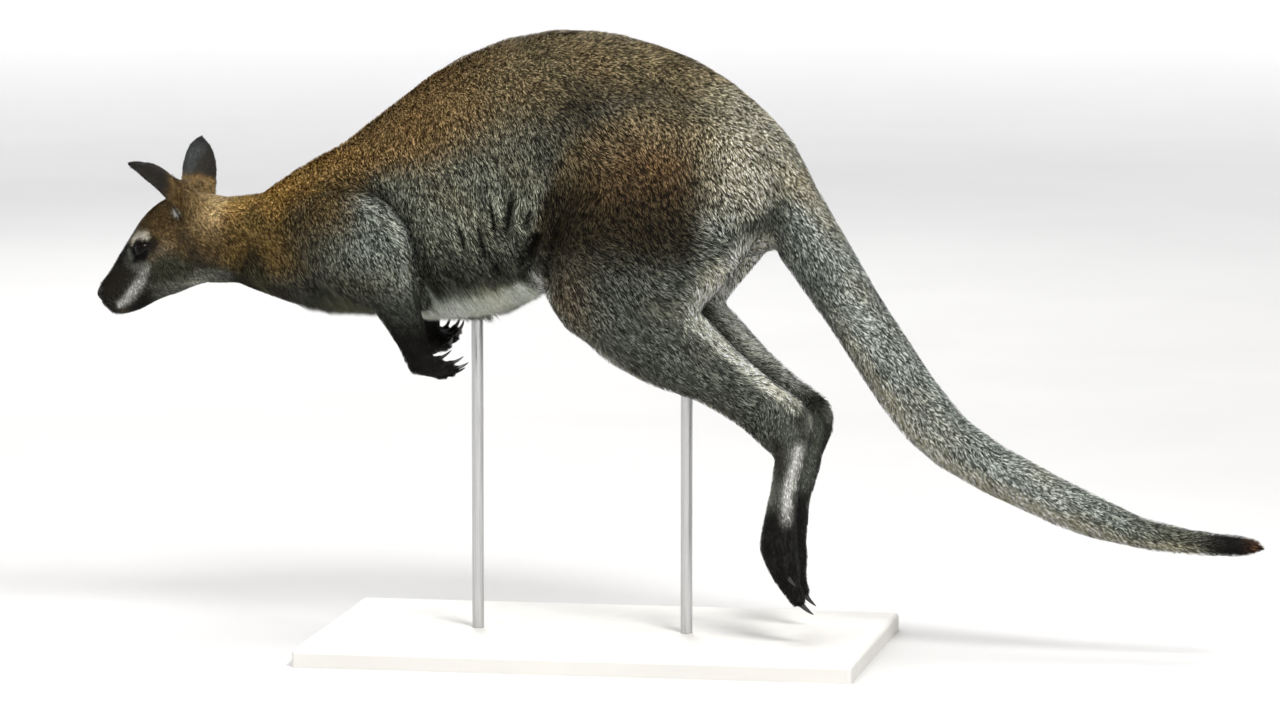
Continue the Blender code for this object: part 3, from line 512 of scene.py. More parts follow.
def in_folds(points, normals):
    """1 in the depth of the folds, where the coat parts, its dark roots show and shade is painted,
    and in the painted shade of the hollows behind the arm and before the thigh; and 1 on the lips
    of the folds, where light is painted."""
    deepest = np.zeros(len(points))
    highest = np.zeros(len(points))
    for line, depth, width in FOLDS:
        near, lips = fold_reach(points, normals, line, width * 1.35)
        deepest = np.maximum(deepest, near * min(1, depth / DEEP_FOLD))
        highest = np.maximum(highest, lips * min(1, depth / DEEP_FOLD))
    for line, side, *_ in EDGES:
        away, share = beside(points, line)
        # painted shade in the hollow behind the arm's back edge and before the thigh's front edge
        slit = within(share, 0.06 if side > 0 else 0.6, 0.3) * bell(away * side + 0.002, 0.0034)
        deepest = np.maximum(deepest, 0.8 * slit * side_on(normals))
    return deepest, highest * (1 - deepest)


def rucks(points, height):
    """From -1 to 1 across the fine upright rucks of the flank, for their painted light and shade.
    """
    upright = points * (0.4, 1, 0.16)
    reach = step(points[:, 1], -0.175, -0.14) * step(points[:, 1], -0.015, -0.05)
    reach = reach * step(height, 0.62, 0.45) * step(height, 0.06, 0.16)
    return reach * (0.65 * speckle(upright, RUCK, 41) + 0.35 * speckle(upright, 2.2 * RUCK, 42))


def carved(points, normals, line, depth, width):
    """Presses a fine groove into both sides of the face along a line."""
    away, share = beside(mirrored(points), line)
    ends = np.sin(np.pi * np.clip(share * 0.86 + 0.07, 0, 1)) ** 0.7
    lips = bell(away - 1.9 * width, 0.8 * width) * ends
    groove = depth * (GROOVE_LIPS * lips - bell(away, width) * ends)
    return points + normals * groove[:, None]


def build_skin():
    """The skin, the solid that each of its points belongs to, and which points are bare."""
    surface = Surface(joined_solids())
    labels = nearest_nodes(surface.points)
    rounds = surface.averaged(by_part(labels, "rounds"), SOFT_EDGE)[:, 0]
    most = int(rounds.max())
    near_eye = spot(surface.points, EYE, ROUND_SPOT)
    ear_roots = sum(spot(surface.points, root, ROUND_SPOT) for root in EAR_ROOTS)
    surface.smoothed(most, np.clip(rounds / most + 0.9 * ear_roots, 0, 1) * (1 - 0.8 * near_eye))
    detail = surface.averaged(by_part(labels, "detail"), 6)[:, 0]
    detail = np.maximum(detail, near_folds(surface.points, surface.normals()))
    obj = thinned(surface.obj, detail)
    for centre, reach in REFINED:
        refined(obj, centre, reach)
    surface = Surface(obj)
    labels = nearest_nodes(surface.points)
    depth = surface.averaged(by_part(labels, "depth"), 14)[:, 0]
    muzzle = spot(surface.points, NOSE, (0.02, 0.018, 0.018))
    depth = depth * (1 - 0.75 * muzzle) + CUT_SWELL
    surface.points = surface.points - surface.normals() * depth[:, None]
    normals = surface.normals()
    surface.points = folded(surface.points, normals)
    for line, deep, width in GROOVES:
        surface.points = carved(surface.points, normals, line, deep, width)
    hidden = np.zeros(len(surface.points))
    for side in (1, -1):
        surface.points, under = shape_lids(surface.points, side)
        hidden = np.maximum(hidden, under)
    surface.write()
    smooth_faces(obj.data)
    obj.data.update()
    return surface, labels, hidden


# -------- markings, with painted light and shade

BLACK = (0.0075, 0.0065, 0.0055)
DARK = (0.028, 0.022, 0.014)
CROWN = (0.140, 0.088, 0.032)
RUFOUS = (0.630, 0.350, 0.080)
NECK_SIDE = (0.150, 0.096, 0.025)
NECK_LOW_AND_SHADE = (0.019, 0.013, 0.004)
WITHERS = (0.245, 0.155, 0.056)
SHOULDER = (0.115, 0.078, 0.028)
BACK = (0.186, 0.144, 0.071)
REDDISH = (0.110, 0.060, 0.018)
PALE_REAR_AND_LIGHT = (0.570, 0.530, 0.360)
GREY = (0.182, 0.190, 0.142)
DARK_HAUNCH_AND_SHADE = (0.030, 0.024, 0.011)
LEG = (0.117, 0.128, 0.102)
ARM = (0.160, 0.182, 0.152)
SILVER = (0.345, 0.385, 0.338)
PALE = (0.640, 0.650, 0.530)
CREAM_AND_BOUNCE_LIGHT = (1.000, 0.960, 0.680)
TAN = (0.400, 0.270, 0.115)
CHEEK = (0.048, 0.048, 0.029)
EAR_BACK = (0.018, 0.015, 0.011)
EAR_GREY = (0.047, 0.052, 0.050)
RUST = (0.190, 0.122, 0.056)
FRINGE = (1.000, 1.100, 0.875)
CHEST_UNDER = (0.300, 0.310, 0.160)
TAIL_DUSK = (0.105, 0.105, 0.070)
TAIL_TIP = (0.120, 0.055, 0.024)
WHITE = (1.200, 1.190, 1.100)
SKIN_PINK = (0.300, 0.180, 0.140)


def toned(colour, brightness):
    return np.array(colour) * brightness


def plain(points, colour):
    return np.tile(colour, (len(points), 1))


def trunk_height(points):
    """Height on the trunk as a share, from 0 along the belly to 1 along the back."""
    marks = []
    for node in ("head", "neck", "chest", "belly", "rump"):
        places = corners(node)
        for y in np.linspace(places[:, 1].min(), places[:, 1].max(), 5)[1:-1]:
            near = places[np.abs(places[:, 1] - y) < 0.022]
            marks.append((y, near[:, 2].min(), near[:, 2].max()))
    y, low, high = np.array(sorted(marks)).T
    low = np.interp(points[:, 1], y, low)
    high = np.interp(points[:, 1], y, high)
    return (points[:, 2] - low) / (high - low)


# The lower edge of the brown of the shoulder, over the silver of the arm
SHOULDER_EDGE = [(-0.2, 0.5), (-0.236, 0.4626), (-0.2457, 0.434), (-0.335, 0.397),
                 (-0.37, 0.38)]


def shoulder_brown(points):
    above, _ = beside(points, SHOULDER_EDGE)
    return step(-above, -0.032, 0.02) * step(points[:, 1], -0.2, -0.235)


def trunk_colours(points, normals, height):
    _, y, z = points.T
    height = np.maximum(height, 0.62 * step(y, 0.11, 0.155))
    colours = plain(points, GREY)
    over(colours, BACK, step(height, 0.56, 0.8))
    # dark hair of the haunch, with painted shade
    over(colours, DARK_HAUNCH_AND_SHADE, step(y, -0.08, 0.0) * step(height, 0.35, 0.55) * step(height, 0.92, 0.7))
    over(colours, REDDISH, 0.8 * spot(points, (0.08, 0.055, 0.515), (0.08, 0.05, 0.022)))
    over(colours, WITHERS, step(y, -0.06, -0.17) * step(height, 0.55, 0.75))
    over(colours, SHOULDER, shoulder_brown(points) * step(height, 0.92, 0.72))
    over(colours, NECK_SIDE, step(y, -0.225, -0.335) * step(height, 0.18, 0.35))
    over(colours, RUFOUS, step(y, -0.2, -0.37) * step(height, 0.66, 0.98))
    # pale hair of the rump's rear, brightened with painted light where the lamp falls from behind
    # and above
    over(colours, PALE_REAR_AND_LIGHT, step(y, 0.085, 0.175) * step(height, 0.25, 0.6))
    over(colours, SILVER, step(y, 0.11, 0.15) * step(z, 0.48, 0.44))
    # painted shade on the lower flank, over its darker hair
    over(colours, toned(GREY, 0.27), step(height, 0.36, 0.18) * step(y, -0.33, -0.28))
    # dark hair low on the neck, with painted shade under the neck
    over(colours, NECK_LOW_AND_SHADE, step(y, -0.285, -0.325) * step(height, 0.32, 0.16))
    over(colours, FRINGE, step(height, 0.13, 0.085) * step(y, -0.215, -0.19) * step(y, 0.12, 0.03))
    over(colours, CHEST_UNDER, 0.3 * step(height, 0.075, 0.035) * step(y, -0.38, -0.31)
         * step(y, -0.2, -0.23))
    over(colours, PALE, 0.7 * step(normals[:, 2], -0.1, -0.6) * step(y, 0.05, 0.1))
    return colours


# The white streak down the outside of the long foot, and the dark patch in front of it
WHITE_STREAK = [(0.2125, 0.224), (0.2115, 0.214), (0.2075, 0.199), (0.203, 0.184),
                (0.2, 0.169), (0.199, 0.156), (0.199, 0.14)]
FOOT_PATCH = [(0.189, 0.226), (0.192, 0.214), (0.1955, 0.192)]


def limb_colours(points, normals, labels):
    x, y, z = points.T
    sideways = np.abs(normals[:, 0])
    inner = step(normals[:, 0] * np.sign(x), -0.2, -0.7)
    thigh, upper, foot = (named(labels, part) for part in ("thigh", "upper", "foot"))
    leg = named(labels, "shin", "foot")
    arm = named(labels, "upper", "forearm", "hand")
    whole_leg = np.clip(thigh + leg, 0, 1)
    colours = plain(points, LEG)

    # dark hair of the haunch on the thigh, with painted shade
    over(colours, DARK_HAUNCH_AND_SHADE, thigh * step(z, 0.372, 0.425))
    over(colours, BACK, thigh * step(z, 0.465, 0.53))
    over(colours, REDDISH, 0.8 * thigh * spot(points, (0.11, 0.06, 0.5), (0.08, 0.06, 0.036)))
    front_edge = step(sideways, 0.8, 0.45) * step(-normals[:, 1], 0.2, 0.5) * step(z, 0.4, 0.36)
    over(colours, PALE, 0.7 * whole_leg * front_edge * step(z, 0.235, 0.26))
    # the same pale hair and painted light on the upper back of the thigh
    over(colours, PALE_REAR_AND_LIGHT, 0.8 * thigh * step(y, 0.105, 0.155) * step(z, 0.42, 0.47))
    over(colours, toned(SILVER, 0.8), 0.8 * thigh * step(y, 0.105, 0.14) * step(z, 0.48, 0.44)
         * step(z, 0.36, 0.39))
    over(colours, RUST, 0.55 * thigh * spot(points, (0.1, -0.018, 0.362), (0.05, 0.026, 0.034)))

    over(colours, GREY, arm)
    over(colours, ARM, upper * step(z, 0.365, 0.425) * step(y, -0.275, -0.225))
    # painted highlight along the arm's back edge
    rim, _ = beside(points, ARM_EDGE)
    over(colours, SILVER, 0.5 * upper * step(z, 0.35, 0.385) * bell(rim - 0.006, 0.006)
         * step(z, 0.468, 0.452))
    over(colours, SHOULDER, arm * shoulder_brown(points))
    over(colours, toned(LEG, 0.45), arm * step(z, 0.4, 0.352))
    over(colours, BLACK, arm * step(z, 0.35, 0.322))

    # painted shade on the inner sides of the legs, where they face each other
    over(colours, toned(LEG, 0.62), inner * whole_leg)
    rear_edge = step(sideways, 0.92, 0.62) * step(normals[:, 1], 0.1, 0.38)
    over(colours, toned(PALE, 2.0), 0.9 * rear_edge * whole_leg * step(z, 0.25, 0.275)
         * step(z, 0.44, 0.4))
    metatarsus = foot * step(z, 0.262, 0.238)
    over(colours, LEG, metatarsus)
    over(colours, PALE, 0.45 * metatarsus * step(y, 0.19, 0.183) * step(z, 0.206, 0.19))
    streak, _ = beside(points, WHITE_STREAK)
    over(colours, BLACK, 0.85 * leg * step(streak, 0.0065, 0.0085) * step(z, 0.238, 0.226))
    over(colours, DARK, 0.85 * leg * bell(beside(points, FOOT_PATCH)[0], 0.0062))
    over(colours, DARK, 0.85 * leg * spot(points, (0.055, 0.213, 0.245), (0.04, 0.0075, 0.008)))
    over(colours, PALE, 0.65 * leg * spot(points, (0.055, 0.225, 0.243), (0.04, 0.0045, 0.01)))
    over(colours, BLACK, foot * step(z, 0.172, 0.148))
    over(colours, WHITE, 0.85 * leg * step(-inner, -0.4, -0.1) * bell(streak, 0.0044)
         * step(z, 0.136, 0.16) * step(z, 0.228, 0.214))
    return colours


def tail_colours(points, normals):
    y = points[:, 1]
    colours = plain(points, SILVER) * (1 - 0.2 * step(y, 0.28, 0.2))[:, None]
    # the same pale hair and painted light on the upward side of the tail's root
    over(colours, PALE_REAR_AND_LIGHT, 0.8 * step(y, 0.265, 0.195) * step(normals[:, 2], 0.1, 0.6))
    lean = np.interp(y, (0.22, 0.34, 0.46, 0.6), (-0.84, -0.76, -0.42, -0.15))
    below = normals[:, 1] * lean - normals[:, 2] * np.sqrt(1 - lean ** 2)
    under = step(below, 0.15, 0.6) * step(y, 0.22, 0.3)
    # cream underside of the tail, with painted light bounced up from the floor
    over(colours, CREAM_AND_BOUNCE_LIGHT, under)
    over(colours, TAIL_DUSK, 0.9 * step(y, 0.455, 0.59) * (1 - 0.6 * under))
    over(colours, BLACK, step(y, 0.582, 0.622))
    over(colours, TAIL_TIP, 0.9 * step(y, 0.646, 0.656))
    return colours


def head_colours(points, normals):
    places = mirrored(points)
    _, y, z = places.T
    outward = step(normals[:, 0] * np.sign(points[:, 0]), -0.1, 0.35)

    def near_line(line, width):
        return bell(beside(places, line)[0], width) * outward

    colours = plain(points, CHEEK)
    over(colours, CROWN, step(z + 0.25 * (y + 0.45), 0.392, 0.416))
    # dark hair and painted shade in the crease at the back of the cheek, where the head meets the
    # neck
    back_edge = [(-0.419, 0.415), (-0.4085, 0.3965), (-0.403, 0.38)]
    over(colours, DARK, 0.7 * near_line(back_edge, 0.0075))
    bridge = step(z - 0.95 * (y + 0.463), 0.38, 0.4) * step(y, -0.462, -0.482)
    over(colours, BLACK, 0.85 * bridge)
    from_eye = [(-0.5027, 0.36), (-0.489, 0.372), (-0.4786, 0.383)]
    over(colours, DARK, 0.9 * near_line(from_eye, 0.008))
    over(colours, DARK, 0.9 * step(y + 0.25 * (z - 0.36), -0.478, -0.492))
    lip_stripe = [(-0.49, 0.3405), (-0.4825, 0.347), (-0.473, 0.359), (-0.464, 0.372),
                  (-0.459, 0.38)]
    fading = 1 - 0.72 * beside(places, lip_stripe)[1] ** 0.8
    over(colours, WHITE, np.clip(2.2 * near_line(lip_stripe, 0.0034), 0, 1) * fading)
    under_eye = [(-0.48, 0.3855), (-0.47, 0.38), (-0.459, 0.383)]
    over(colours, toned(PALE, 0.6), 0.75 * near_line(under_eye, 0.0046))
    throat = step(normals[:, 2], -0.25, -0.75) * step(y, -0.47, -0.44)
    over(colours, toned(PALE, 0.42), 0.55 * throat)
    jaw_edge = [(-0.4, 0.368), (-0.408, 0.365), (-0.418, 0.3615)]
    over(colours, PALE, 0.55 * near_line(jaw_edge, 0.0055))
    chin = step(z - 0.62 * (y + 0.49), 0.34, 0.337) * step(y, -0.452, -0.466)
    over(colours, BLACK, 0.92 * chin)
    over(colours, TAN, 0.3 * spot(points, (0.014, -0.489, 0.3335), (0.01, 0.005, 0.003)))
    over(colours, BLACK, spot(points, NOSE + (0, 0.003, 0), (0.02, 0.012, 0.012)) ** 0.5)
    round_eye = [(-0.476, 0.39), (-0.4651, 0.3975), (-0.454, 0.404)]
    over(colours, BLACK, np.clip(1.5 * near_line(round_eye, 0.0078), 0, 1))
    brow = [(-0.474, 0.406), (-0.469, 0.4115), (-0.461, 0.4125)]
    over(colours, toned(WHITE, (0.95, 0.86, 0.66)), np.clip(2.0 * near_line(brow, 0.003), 0, 1))
    over(colours, PALE, 0.4 * near_line([(-0.479, 0.396), (-0.4775, 0.388)], 0.0024))
    behind_eye = [(-0.453, 0.3925), (-0.4444, 0.3985), (-0.438, 0.403)]
    over(colours, toned(TAN, (0.8, 0.9, 1.3)), 0.42 * near_line(behind_eye, 0.0056))
    rim = np.linalg.norm(places - EYE, axis=1)
    over(colours, BLACK, step(rim, EYE_RADIUS + 0.003, EYE_RADIUS + 0.0012)
         * (np.abs(places - EYE)[:, 0] < 0.012))
    over(colours, toned(TAN, 1.2), 0.95 * step(y, -0.422, -0.395) * step(z, 0.405, 0.44))
    ear_dot = [(-0.4276, 0.4372), (-0.4266, 0.438)]
    over(colours, WHITE, np.clip(1.6 * near_line(ear_dot, 0.0034), 0, 1))
    return colours


def ear_frame(side):
    """Root, direction of the tip and direction of the opening of one ear."""
    places = corners("ear_left" if side > 0 else "ear_right")
    far = places[np.argmax(np.linalg.norm(places - middle("head"), axis=1))]
    order = np.argsort(np.linalg.norm(places - far, axis=1))
    root = places[order[-12:]].mean(axis=0)
    tip = (far - root) / np.linalg.norm(far - root)
    rims = places[np.argsort(np.abs((places - places.mean(axis=0)) @ tip))[:24]]
    spread = np.linalg.svd(rims - rims.mean(axis=0))[2]
    opening = spread[1] - tip * (spread[1] @ tip)
    if opening @ np.array((0.0, -1.0, -0.4)) < 0:
        opening = -opening
    return root, tip, opening / np.linalg.norm(opening)


def ear_colours(points, normals):
    colours = plain(points, EAR_BACK)
    for side in (1, -1):
        root, tip, opening = ear_frame(side)
        mine = np.sign(points[:, 0]) == side
        along = (points - root) @ tip
        inside = step(normals @ opening, 0.05, 0.45)
        over(colours, toned(SKIN_PINK, 0.32), 0.55 * inside * mine)
        centre = np.linalg.norm(np.cross(points - root, tip), axis=1)
        over(colours, EAR_GREY, 0.9 * mine * (1 - inside) * step(centre, 0.013, 0.007) * (side < 0))
        over(colours, BLACK, 0.85 * mine * step(along, 0.04, 0.055))
        brown_end = -0.004 if side > 0 else 0.014
        over(colours, CROWN, mine * (1 - inside) * step(along, brown_end, brown_end - 0.016))
    return colours


def markings_with_painted_light(points, normals, labels, soften):
    """The coat's colour at every point, with painted light and shade in it. Soften spreads a part's
    share over its edge.
    """
    colours = trunk_colours(points, normals, trunk_height(points))
    limbs = named(labels, "thigh", "shin", "foot", "upper", "forearm", "hand")
    over(colours, limb_colours(points, normals, labels), soften(limbs))
    over(colours, tail_colours(points, normals), soften(named(labels, "tail")))
    over(colours, head_colours(points, normals), soften(named(labels, "head")))
    over(colours, ear_colours(points, normals), soften(named(labels, "ear")))
    patches = wander(points, 0.06, 11)
    trunk = 1 - named(labels, "head", "ear", "foot", "hand", "forearm")
    over(colours, colours * (1.22, 0.98, 0.72), 0.35 * trunk * np.clip(patches[:, 1], 0, 1))
    colours = colours * (1 + 0.1 * patches[:, 0])[:, None]
    return np.clip(colours, 0, 1.5)


# -------- lie of the coat

# The way the hair lies at places in a solid's box: three shares of the box from its lowest
# corner, then how it runs along y and z, and along x where it does. They are for the left
# side and are mirrored.
LIE = {
    "head": [
        (0.5, 0.0, 0.15, 0.45, 0.9), (0.66, 0.25, 0.35, 0.8, 0.45, 0.25),
        (0.5, 0.4, 0.75, 0.75, 0.65), (0.5, 0.7, 0.95, 1.0, 0.15),
        (0.8, 0.6, 0.45, 0.95, -0.25, 0.1), (0.75, 0.45, 0.2, 0.95, -0.1, 0.1),
    ],
    "neck": [
        (0.6, 0.5, 1.0, 1.0, 0.05), (1.0, 0.5, 0.5, 0.5, -0.87), (0.7, 0.5, 0.0, 0.8, -0.6),
    ],
    "chest": [
        (0.6, 0.3, 0.9, 0.8, -0.1), (0.95, 0.3, 0.6, 0.45, -0.89),
        (0.95, 0.7, 0.6, 0.36, -0.93), (0.9, 0.95, 0.35, 0.16, -0.98),
        (0.5, 0.5, 0.0, 0.95, -0.3),
    ],
    "belly": [
        (0.6, 0.3, 1.0, 0.85, -0.3), (0.95, 0.2, 0.6, 0.22, -0.97),
        (0.95, 0.55, 0.3, 0.05, -1.0), (0.9, 0.2, 0.1, 0.05, -1.0),
        (0.98, 0.1, 0.35, 0.05, -1.0), (0.98, 0.8, 0.4, -0.1, -1.0), (0.5, 0.4, 0.0, 0.8, -0.6),
    ],
    "rump": [
        (0.6, 0.3, 1.0, 0.9, -0.3), (0.9, 0.5, 0.75, 0.78, -0.62), (0.6, 1.0, 0.55, 0.5, -0.86),
    ],
    "thigh_left": [
        (0.9, 0.35, 0.75, 0.88, -0.48), (0.95, 0.35, 0.4, 0.98, -0.2),
        (0.95, 0.6, 0.25, 0.98, -0.2), (0.8, 0.75, 0.45, 0.99, 0.12),
        (0.9, 0.05, 0.3, 0.65, -0.75, 0.1),
    ],
    "shin_left": [(0.7, 0.2, 0.75, 0.8, -0.6), (0.6, 0.7, 0.4, 0.72, -0.7)],
    "foot_left": [(0.5, 0.5, 0.9, -0.05, -1.0), (0.5, 0.4, 0.2, 0.15, -1.0)],
    "tail_1": [(0.8, 0.5, 0.5, 0.56, -0.83)],
    "tail_2": [(0.8, 0.5, 0.5, 0.58, -0.82)],
    "tail_3": [(0.8, 0.5, 0.5, 0.8, -0.6)],
    "tail_4": [(0.8, 0.5, 0.5, 0.92, -0.4)],
    "tail_5": [(0.8, 0.5, 0.5, 0.99, -0.12)],
    "upper_arm_left": [(0.7, 0.4, 0.8, 0.6, -0.8), (0.8, 0.6, 0.3, 0.35, -0.93, 0.1)],
    "forearm_left": [(0.6, 0.5, 0.5, 0.35, -0.94)],
    "hand_left": [(0.5, 0.6, 0.4, 0.95, -0.15, -0.1)],
    "hand_right": [(0.5, 0.6, 0.4, 0.92, 0.35, 0.1)],
}


def lie_guides():
    """Places and unit directions. The hands aren't mirrored, as they lie differently."""
    places = []
    ways = []
    for node, rows in LIE.items():
        low, high = (np.array(corner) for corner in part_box(node))
        for *share, y, z, x in ((*row, 0.0)[:6] for row in rows):
            place = low + (high - low) * np.array(share)
            for side in (1, -1):
                if node.startswith("hand") and (place[0] > 0) != (side > 0):
                    continue
                flip = (side if place[0] > 0 else -side, 1, 1)
                places.append(np.abs(place) * (side, 1, 1) if place[0] else place)
                ways.append(np.array((x, y, z)) * flip)
    return np.array(places), unit(np.array(ways))


def lie_of_coat(points, normals, labels):
    """Unit vectors along the hair, flat on the skin."""
    total = np.zeros((len(points), 3))
    for place, way in zip(*lie_guides()):
        weight = 1 / (np.sum((points - place) ** 2, axis=1) + 0.0004) ** 2
        total += weight[:, None] * way
    total = unit(total)
    for side, ear in ((1, "ear_left"), (-1, "ear_right")):
        over(total, ear_frame(side)[1], named(labels, ear))
    total = flattened(total + 0.16 * wander(points, 0.06, 5), normals)
    aside = np.sign(points[:, :1]) * (1, 0, 0)
    return unit(total + 0.15 * flattened(aside, normals))


# -------- coat

COATS = {
    "coat_head": ("head",),
    "coat_ears": ("ear",),
    "coat_neck": ("neck",),
    "coat_chest": ("chest",),
    "coat_belly": ("belly",),
    "coat_rump": ("rump",),
    "coat_thigh_left": ("thigh_left",),
    "coat_thigh_right": ("thigh_right",),
    "coat_lower_legs": ("shin", "foot"),
    "coat_arms": ("upper", "forearm", "hand"),
    "coat_tail": ("tail",),
}
MOST_TUFTS = 58000          # three triangles each, in one piece
PATCH = 0.003               # size of a tuft's patch on the bake's map
SUNK = 0.0009               # how deep the tufts' roots lie in the skin
MOST_HIDDEN = 0.05          # skin that is hidden more than this, under the lids, is bare
# The least and most of a tuft's own length, width and depth, as shares of what is usual there
LENGTH_SPREAD = (0.75, 1.2)
WIDTH_SPREAD = (0.8, 1.25)
DEPTH_SPREAD = (0.72, 1.08)
SWERVE = 0.26               # how far tufts turn from the lie together with those near them
SWERVE_SIZE = 0.011         # distance over which that turn changes
STRAY = 0.09                # how far each turns on its own
TWIST = 0.3                 # how far each is turned about its own length
BEND = 0.72                 # share of its depth that a tuft has reached halfway
TAPER = 0.85                # its width there, as a share of that at the root
LEAN_LIGHT = 0.22           # how far its shading leans along the hair
STRAY_LIGHT = 0.24          # and how far it strays, for a coarse glitter
SILVERY = (1.02, 1.0, 0.92)     # tint of the palest hair tips
SILVER_SHARE = 0.12

# Kinds of hair, from dark to silvery: how many of the tufts have each, and its brightness at
# root, middle and tip. Tufts of a kind tend to stand together.
KINDS = [
    (0.42, (0.2, 0.2, 0.14)),
    (0.28, (0.26, 0.75, 0.9)),
    (0.3, (0.34, 1.7, 3.0)),
]
DIM_COAT = 0.02             # brightness below which the coat is less and less grizzled
LEAST_GRIZZLE = 0.25        # share of the contrast that the darkest coat keeps
GRIZZLE = 0.0015            # distance over which the kinds change
GRIZZLE_SHARE = 0.9         # how closely they keep together
HANG = 0.0045               # how far the tips of the belly's long hair hang down


def unwrapped(points, normals, labels, nodes):
    """Places on a map of 0 to 1: each solid in a column of its own, rolled out round the
    solid's long axis. An ear's inside has a column apart from its back."""
    place = np.zeros((len(points), 2))
    columns = []
    for index in nodes:
        mine = labels == index
        if FLESH[index].startswith("ear"):
            _, _, opening = ear_frame(1 if FLESH[index] == "ear_left" else -1)
            inside = normals @ opening > 0
            columns += [mine & inside, mine & ~inside]
        else:
            columns.append(mine)
    columns = [mine for mine in columns if mine.sum() > 2]
    total = sum(mine.sum() for mine in columns)
    start = 0.0
    for mine in columns:
        width = mine.sum() / total
        here = points[mine] - points[mine].mean(axis=0)
        axes = np.linalg.svd(here[::max(1, len(here) // 2000)], full_matrices=False)[2]
        along = here @ axes[0]
        along = (along - along.min()) / max(np.ptp(along), 1e-9)
        turn = np.arctan2(here @ axes[1], here @ axes[2]) / (2 * math.pi) + 0.5
        place[mine, 0] = start + width * (0.02 + 0.96 * turn)
        place[mine, 1] = 0.01 + 0.97 * along
        start += width
    return place


def tuft_tones(rng, roots, contrast):
    """Brightness at root, middle and tip of every tuft, and how silvery its tip is."""
    count = len(roots)
    mood = GRIZZLE_SHARE * speckle(roots, GRIZZLE, 31) + 0.5 * rng.normal(size=count)
    rank = np.argsort(np.argsort(mood)) / count
    limits = np.cumsum([share for share, _ in KINDS])
    kind = np.minimum(np.searchsorted(limits, rank), len(KINDS) - 1)
    tones = np.array([tone for _, tone in KINDS])[kind]
    tones = tones * rng.uniform(0.8, 1.2, (count, 1))
    tones[:, 1:] = np.maximum(1 + contrast[:, None] * (tones[:, 1:] - 1), 0.1)
    return tones, (kind == len(KINDS) - 1) * contrast


def coat_piece(name, starts, skin, rng):
    """A coat for part of the skin: thin tapered tufts of two faces each, as one mesh."""
    nodes = [index for index, node in enumerate(FLESH) if node.startswith(starts)]
    triangles = skin["triangles"]
    owner = skin["labels"][triangles[:, 0]]
    seen = skin["hidden"][triangles].max(axis=1) < MOST_HIDDEN
    triangles = triangles[np.isin(owner, nodes) & seen]
    first, second, third = skin["points"][triangles].transpose(1, 0, 2)
    area = np.linalg.norm(np.cross(second - first, third - first), axis=1) / 2
    wanted = area * 1e6 * skin["density"][triangles].mean(axis=1)
    count = int(min(wanted.sum(), MOST_TUFTS))
    picked = triangles[rng.choice(len(triangles), count, p=wanted / wanted.sum())]
    share = rng.random((count, 2))
    beyond = share.sum(axis=1) > 1
    share[beyond] = 1 - share[beyond]
    weights = np.column_stack([1 - share.sum(axis=1), share])

    def sample(key):
        values = skin[key][picked]
        return np.einsum("ij,ijk->ik", weights, values.reshape(count, 3, -1))

    roots = sample("points")
    normals = unit(sample("normals"))
    length = sample("length") * rng.uniform(*LENGTH_SPREAD, (count, 1))
    width = sample("width") * rng.uniform(*WIDTH_SPREAD, (count, 1))
    depth = sample("rise") * rng.uniform(*DEPTH_SPREAD, (count, 1))
    colours = sample("colours")
    bright = np.clip(colours.mean(axis=1) / DIM_COAT, LEAST_GRIZZLE, 1)
    contrast = sample("contrast")[:, 0] * bright
    swerve = np.column_stack([speckle(roots, SWERVE_SIZE, seed) for seed in (21, 22, 23)])
    lie = sample("lie") + SWERVE * swerve + STRAY * rng.normal(size=(count, 3))
    lie = unit(flattened(lie, normals))
    across = unit(np.cross(lie, normals) + normals * rng.normal(0, TWIST, (count, 1)))
    sunk = roots - normals * SUNK
    middles = roots + lie * 0.5 * length + normals * BEND * depth
    tips = roots + lie * length + normals * depth
    tips[:, 2] -= sample("hang")[:, 0] * rng.uniform(0.4, 1.2, count)
    side = across * width
    points = np.stack([sunk - side, sunk + side, middles + TAPER * side,
                       middles - TAPER * side, tips], axis=1)
    tones, silver = tuft_tones(rng, roots, contrast)
    over(colours, colours.mean(axis=1, keepdims=True) * SILVERY, SILVER_SHARE * silver)
    shades = tones[:, [0, 0, 1, 1, 2]][:, :, None] * colours[:, None, :]
    facing = unit(normals + LEAN_LIGHT * lie + STRAY_LIGHT * rng.normal(size=(count, 3)))
    maps = unwrapped(roots, normals, skin["labels"][picked[:, 0]], nodes)
    return new_object(name, tuft_mesh(name, points, shades, facing, maps))


def painted(mesh, colours):
    """Gives the mesh a colour at every point."""
    paint = mesh.color_attributes.new("coat_colour", "FLOAT_COLOR", "POINT")
    write(paint.data, "color", np.column_stack([colours, np.ones(len(colours))]))


def tuft_mesh(name, points, shades, facing, maps):
    """Each tuft is a quad and a triangle over five points."""
    count = len(points)
    mesh = bpy.data.meshes.new(name)
    tuft = np.arange(count)[:, None]
    loops = (tuft * 5 + np.array([0, 1, 2, 3, 3, 2, 4])).ravel()
    mesh.vertices.add(count * 5)
    write(mesh.vertices, "co", points)
    mesh.loops.add(len(loops))
    write(mesh.loops, "vertex_index", loops, np.int32)
    mesh.polygons.add(count * 2)
    write(mesh.polygons, "loop_start", tuft * 7 + np.array([0, 4]), np.int32)
    mesh.update(calc_edges=True)
    smooth_faces(mesh)
    patch = np.array([(0, 0), (1, 0), (1, 0.5), (0, 0.5), (0.5, 1)]) * PATCH
    places = (maps[:, None, :] + patch).reshape(-1, 2)
    write(mesh.uv_layers.new(name="OFBake").data, "uv", places[loops])
    painted(mesh, np.clip(shades, 0, 1).reshape(-1, 3))
    facing = np.repeat(facing, 5, axis=0)
    lit = mesh.attributes.new("coat_facing", "FLOAT_VECTOR", "POINT")
    write(lit.data, "vector", facing)
    mesh.normals_split_custom_set_from_vertices(facing)
    return mesh


